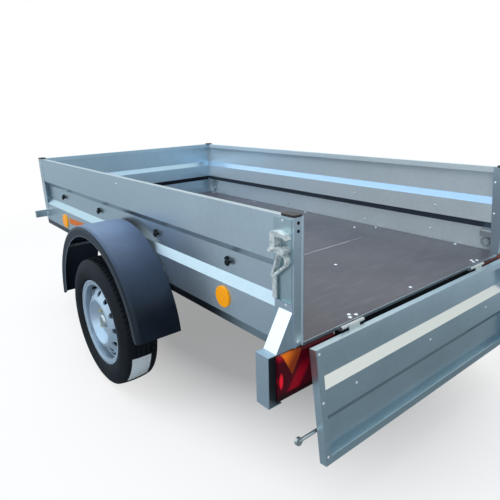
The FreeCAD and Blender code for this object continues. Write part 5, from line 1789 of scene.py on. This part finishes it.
@dataclass
class GuardEdges:
    """Lighter bead on the rolled edge along the mudguards' outer lips and ends, a painted highlight.

    Sizes are millimetres and degrees.

    Attributes:
        finishes: The trailer's finishes.
        bed: Where the bed stands.
        ahead: Middle of a mudguard, along the bed from its rear end.
        level: Height of that middle.
        lip: Radius of the lip's edge.
        crease: Radius at which the lip leaves the crown.
        outer: Outer face of the mudguard, across.
        tuck: Inward lean of the lip.
        sink: Depth of the bead's middle in the lip.
        sweep: Angle that a mudguard covers.
        tilt: Height of its front end over the level, as an angle.
        bead: Radius of the bead.
        corner: Radius of the lip's corners.
        inset: Distance of the bead from the mudguard's ends.
        steps: Steps of the bead along the lip.
        arc_steps: Steps round a corner.
    """

    finishes: Finishes
    bed: Bed
    ahead: float = 990.0
    level: float = 285.0
    lip: float = 360.0
    crease: float = 388.0
    outer: float = 776.0
    tuck: float = 3.0
    sink: float = 1.8
    sweep: float = 171.0
    tilt: float = 2.0
    bead: float = 2.2
    corner: float = 27.0
    inset: float = 1.0
    steps: int = 60
    arc_steps: int = 7

    def build(self) -> None:
        """Lay the beads of both mudguards."""
        for side in Side:
            edge = self.finishes.beads.lay(
                f"mudguard_edge_{side.word}", [self.lip_line(side.value)], self.bead * MM,
                self.finishes.by_name["guard_edge_painted_highlight"])
            settle(edge, Body.CHASSIS)

    def spot(self, side: int, radius: float, angle: float) -> Point:
        """Place a point on the lip's outer face.

        Args:
            side: 1 for the left mudguard, -1 for the right one.
            radius: Distance from the mudguard's middle.
            angle: Angle in degrees from the front.

        Returns:
            The point in metres.
        """
        turn = math.radians(angle)
        share = (self.crease - radius) / (self.crease - self.lip)
        across = self.outer - self.tuck * share - self.sink
        foot = self.bed.at(self.ahead + radius * math.cos(turn), side * across, 0)
        return (foot[0], foot[1], (self.level + radius * math.sin(turn)) * MM)

    def lip_line(self, side: int) -> list[Point]:
        """Lead the bead down one end, round its corner, along the lip and up the other end.

        Args:
            side: 1 for the left mudguard, -1 for the right one.

        Returns:
            Points of its path in metres.
        """
        corner = []
        for step in range(self.arc_steps + 1):
            turn = math.pi / 2 * step / self.arc_steps
            away = self.corner * (1 - math.cos(turn)) + self.inset
            corner.append((away, self.lip + self.corner * (1 - math.sin(turn))))
        start, end = self.tilt, self.tilt + self.sweep
        first = [(radius, start + math.degrees(away / radius)) for away, radius in corner]
        last = [(radius, end - math.degrees(away / radius)) for away, radius in corner]
        low, high = first[-1][1], last[-1][1]
        middle = [(self.lip, low + (high - low) * step / self.steps) for step in range(1, self.steps)]
        return [self.spot(side, radius, angle) for radius, angle in [*first, *middle, *reversed(last)]]


@dataclass
class Studio:
    """Camera, soft lights, pale floor and white background.

    Attributes:
        lens: Focal length in millimetres.
        sensor: Width of the sensor in millimetres.
        camera_back: Distance of the camera behind the bed's floor in metres.
        camera_left: Distance of the camera to the left of the trailer's middle.
        camera_up: Height of the camera over the floor's top.
        yaw: Turn of the view from straight ahead to the left in radians.
        pitch: Tilt of the view upwards.
        roll: Roll of the view.
        near: Nearest distance that the camera sees.
        sky: Level of the even light from all round.
        overhead: Power of the lamp over the trailer in watts.
        overhead_at: Place of that lamp from the point under the trailer's middle.
        overhead_size: Side of its face.
        fill: Power of the lamp behind the trailer.
        fill_at: Place of that lamp from the same point.
        fill_aim: Point that it faces.
        fill_size: Side of its face.
        light: Colour of both lamps.
        whiteness: How white the floor is for the eye, by distance in half footprints.
        footprint: Middle of the trailer's shadow, half its length and half its width.
        floor_colour: Colour of the floor.
        floor_half: Half the floor's side.
        mirrored_floor: Tone of the floor in the gloss, by distance in half footprints.
        mirrored_aside: Middle of those tones, across.
        mirrored_share: Share of those tones.
        sky_left: Tone of the left sky in the gloss, by height from the horizon to the zenith.
        sky_right: Tone of the right sky in the gloss.
        sky_turn: Where the right sky ends and the left one starts, as shares to the left.
    """

    lens: float = 33.79
    sensor: float = 36.0
    camera_back: float = 0.8057
    camera_left: float = 1.3727
    camera_up: float = 0.6161
    yaw: float = -0.6706
    pitch: float = -0.3003
    roll: float = 0.0298
    near: float = 0.05
    sky: float = 0.42
    overhead: float = 335.0
    overhead_at: Point = (0.5, 0.6, 4.2)
    overhead_size: float = 4.5
    fill: float = 50.0
    fill_at: Point = (-4.5, 3.5, 2.2)
    fill_aim: Point = (0.0, 0.0, 0.5)
    fill_size: float = 3.0
    light: Colour = (0.82, 0.92, 1.0)
    whiteness: tuple[tuple[float, float], ...] = ((0.6, 0.30), (1.25, 0.80), (3.4, 1.0))
    footprint: tuple[float, float, float] = (-0.55, 1.25, 0.62)
    floor_colour: Colour = (0.56, 0.57, 0.59)
    floor_half: float = 40.0
    mirrored_floor: tuple[tuple[float, Colour], ...] = (
        (0.8, (0.08, 0.11, 0.13)), (1.8, (0.11, 0.17, 0.195)), (3.2, (0.30, 0.38, 0.45)),
        (3.8, (0.40, 0.47, 0.54)), (4.4, (0.40, 0.485, 0.54)), (8.0, (0.50, 0.60, 0.67)))
    mirrored_aside: float = -0.5
    mirrored_share: float = 0.9
    sky_left: tuple[tuple[float, Colour], ...] = (
        (0.0, (0.70, 0.87, 0.98)), (0.40, (1.15, 1.38, 1.46)), (0.49, (1.15, 1.38, 1.46)),
        (0.60, (0.95, 1.24, 1.42)), (0.78, (0.66, 0.98, 1.28)), (1.0, (0.66, 0.98, 1.28)))
    sky_right: tuple[tuple[float, Colour], ...] = (
        (0.0, (0.60, 0.70, 0.74)), (0.5, (0.96, 1.0, 0.95)), (1.0, (0.9, 1.0, 1.05)))
    sky_turn: tuple[float, float] = (-0.5, 0.25)

    def build(self) -> None:
        """Make everything that stands round the trailer."""
        low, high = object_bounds()
        self.add_camera()
        self.add_world()
        self.add_floor(low.z)
        centre = Vector(((low.x + high.x) / 2, 0, low.z))
        self.add_lamp("overhead", centre + Vector(self.overhead_at), centre, self.overhead_size,
                      self.overhead)
        self.add_lamp("rear_fill", centre + Vector(self.fill_at), centre + Vector(self.fill_aim),
                      self.fill_size, self.fill)

    def add_camera(self) -> None:
        """Put the camera where the photograph was taken from."""
        edge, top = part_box("floor_rear")
        data = bpy.data.cameras.new("camera")
        data.lens = self.lens
        data.sensor_width = self.sensor
        data.clip_start = self.near
        camera = bpy.data.objects.new("camera", data)
        ahead = Vector((
            math.cos(self.pitch) * math.cos(self.yaw),
            math.cos(self.pitch) * math.sin(self.yaw),
            math.sin(self.pitch),
        ))
        right = ahead.cross(Vector((0, 0, 1))).normalized()
        down = ahead.cross(right)
        turned_right = right * math.cos(self.roll) + down * math.sin(self.roll)
        turned_down = down * math.cos(self.roll) - right * math.sin(self.roll)
        place = Vector((edge[0] - self.camera_back, self.camera_left, top[2] + self.camera_up))
        camera.matrix_world = Matrix((
            (turned_right.x, -turned_down.x, -ahead.x, place.x),
            (turned_right.y, -turned_down.y, -ahead.y, place.y),
            (turned_right.z, -turned_down.z, -ahead.z, place.z),
            (0, 0, 0, 1),
        ))
        bpy.context.collection.objects.link(camera)
        bpy.context.scene.camera = camera

    def add_lamp(self, name: str, at: Vector, target: Vector, size: float, power: float) -> None:
        """Add a large soft lamp.

        Args:
            name: Name of the lamp.
            at: Where it hangs.
            target: Point that it faces.
            size: Side of its square face in metres.
            power: Power in watts.
        """
        data = bpy.data.lights.new(name, "AREA")
        data.shape = "SQUARE"
        data.size = size
        data.energy = power
        data.color = self.light
        lamp = bpy.data.objects.new(name, data)
        lamp.visible_glossy = False
        lamp.location = at
        lamp.rotation_mode = "QUATERNION"
        lamp.rotation_quaternion = (target - at).to_track_quat("-Z", "Y")
        bpy.context.collection.objects.link(lamp)

    def add_world(self) -> None:
        """White background for the eye, a pale blue sky in the gloss, even light for the rest."""
        world = bpy.data.worlds.new("studio")
        world.use_nodes = True
        tree = world.node_tree
        tree.nodes.clear()
        paths = tree.nodes.new("ShaderNodeLightPath")
        through = tree.nodes.new("ShaderNodeMath")
        through.operation = "MAXIMUM"
        tree.links.new(paths.outputs["Is Glossy Ray"], through.inputs[0])
        tree.links.new(paths.outputs["Is Transmission Ray"], through.inputs[1])
        even = (self.sky, self.sky, self.sky)
        light = self.blended(tree, through.outputs[0], even, self.mirrored_sky(tree))
        shown = self.blended(tree, paths.outputs["Is Camera Ray"], light, (1.0, 1.0, 1.0))
        back = tree.nodes.new("ShaderNodeBackground")
        tree.links.new(shown, back.inputs["Color"])
        output = tree.nodes.new("ShaderNodeOutputWorld")
        tree.links.new(back.outputs[0], output.inputs["Surface"])
        bpy.context.scene.world = world

    def mirrored_sky(self, tree: bpy.types.NodeTree) -> bpy.types.NodeSocket:
        """Build the sky that steel and glass mirror: one tone by height on each side.

        Args:
            tree: The world's node tree.

        Returns:
            The sky's colour.
        """
        ways = tree.nodes.new("ShaderNodeSeparateXYZ")
        tree.links.new(tree.nodes.new("ShaderNodeTexCoord").outputs["Generated"], ways.inputs[0])
        tones = []
        for stops in (self.sky_right, self.sky_left):
            ramp = tree.nodes.new("ShaderNodeValToRGB")
            fill_ramp(ramp.color_ramp, stops)
            tree.links.new(ways.outputs["Z"], ramp.inputs[0])
            tones.append(ramp.outputs[0])
        turn = tree.nodes.new("ShaderNodeMapRange")
        turn.interpolation_type = "SMOOTHSTEP"
        turn.inputs["From Min"].default_value = self.sky_turn[0]
        turn.inputs["From Max"].default_value = self.sky_turn[1]
        tree.links.new(ways.outputs["Y"], turn.inputs["Value"])
        return self.blended(tree, turn.outputs[0], *tones)

    def blended(
        self, tree: bpy.types.NodeTree, share: bpy.types.NodeSocket,
        first: bpy.types.NodeSocket | Colour, second: bpy.types.NodeSocket | Colour,
    ) -> bpy.types.NodeSocket:
        """Mix two lights of the world.

        Args:
            tree: The world's node tree.
            share: Share of the second light.
            first: First light.
            second: Second light.

        Returns:
            The mixed light.
        """
        blend = tree.nodes.new("ShaderNodeMix")
        blend.data_type = "RGBA"
        tree.links.new(share, blend.inputs[0])
        for value, socket in ((first, blend.inputs[6]), (second, blend.inputs[7])):
            if isinstance(value, tuple):
                socket.default_value = (*value, 1.0)
            else:
                tree.links.new(value, socket)
        return blend.outputs[2]

    def add_floor(self, height: float) -> None:
        """Lay a wide pale floor that fades to white for the eye and is duller in the gloss.

        Args:
            height: Level of the floor.
        """
        shading = Shading("studio_floor")
        shading.set(Base_Color=self.floor_colour, Roughness=0.9, Specular_IOR_Level=0.1)
        paths = shading.tree.nodes.new("ShaderNodeLightPath")
        fade = self.rings(shading, 0.0, self.whiteness)
        seen = shading.math("MULTIPLY", paths.outputs["Is Camera Ray"], fade)
        gloss = shading.math("MULTIPLY", paths.outputs["Is Glossy Ray"], self.mirrored_share)
        lit = self.add_glow(shading, shading.shader.outputs[0], seen)
        tones = self.rings(shading, self.mirrored_aside, self.mirrored_floor)
        dulled = self.add_glow(shading, lit, gloss, tones)
        shading.link(dulled, shading.output.inputs["Surface"])
        mesh = bpy.data.meshes.new("studio_floor")
        half = self.floor_half
        corners = [(-half, -half), (half, -half), (half, half), (-half, half)]
        mesh.from_pydata([(x, y, height) for x, y in corners], [], [(0, 1, 2, 3)])
        mesh.materials.append(shading.material)
        floor = bpy.data.objects.new("studio_floor", mesh)
        bpy.context.collection.objects.link(floor)
        floor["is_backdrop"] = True

    def rings(
        self, shading: Shading, aside: float, stops: Sequence[tuple[float, float | Colour]]
    ) -> bpy.types.NodeSocket:
        """Tones in oval rings round the trailer's footprint.

        Args:
            shading: The material that is built.
            aside: Distance of the ovals' centre from the trailer's middle in metres.
            stops: Pairs of distance in half footprints and tone.

        Returns:
            The tone.
        """
        middle, length, width = self.footprint
        local = shading.tree.nodes.new("ShaderNodeMapping")
        local.inputs["Location"].default_value = (-middle / length, -aside / width, 0)
        local.inputs["Scale"].default_value = (1 / length, 1 / width, 0)
        shading.link(shading.place, local.inputs["Vector"])
        reach = shading.tree.nodes.new("ShaderNodeVectorMath")
        reach.operation = "LENGTH"
        shading.link(local.outputs[0], reach.inputs[0])
        far = stops[-1][0]
        share = shading.math("DIVIDE", reach.outputs["Value"], far)
        return shading.ramp(share, [(at / far, tone) for at, tone in stops])

    def add_glow(
        self, shading: Shading, below: bpy.types.NodeSocket, share: bpy.types.NodeSocket,
        colour: bpy.types.NodeSocket | None = None,
    ) -> bpy.types.NodeSocket:
        """A shader with an even glow mixed over it.

        Args:
            shading: The material that is built.
            below: The shader under the glow.
            share: Share of the glow.
            colour: Colour of the glow, or none for white.

        Returns:
            The mixed shader.
        """
        glow = shading.tree.nodes.new("ShaderNodeEmission")
        glow.inputs["Color"].default_value = (1, 1, 1, 1)
        if colour is not None:
            shading.link(colour, glow.inputs["Color"])
        blend = shading.tree.nodes.new("ShaderNodeMixShader")
        shading.link(share, blend.inputs[0])
        shading.link(below, blend.inputs[1])
        shading.link(glow.outputs[0], blend.inputs[2])
        return blend.outputs[0]


def main() -> None:
    """Build the trailer's looks, one sub-assembly after the other."""
    logging.basicConfig(level=logging.INFO, format="%(message)s")
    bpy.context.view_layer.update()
    bpy.context.scene.view_settings.view_transform = "Standard"
    Studio().build()
    finishes = Finishes()
    finishes.dress_frame()
    bed = Bed.read()
    Fittings(finishes, bed).build()
    Gate(finishes, bed).build()
    for side in Side:
        Wheel(finishes, side).build()
    GuardEdges(finishes, bed).build()


if __name__ == "__main__":
    main()
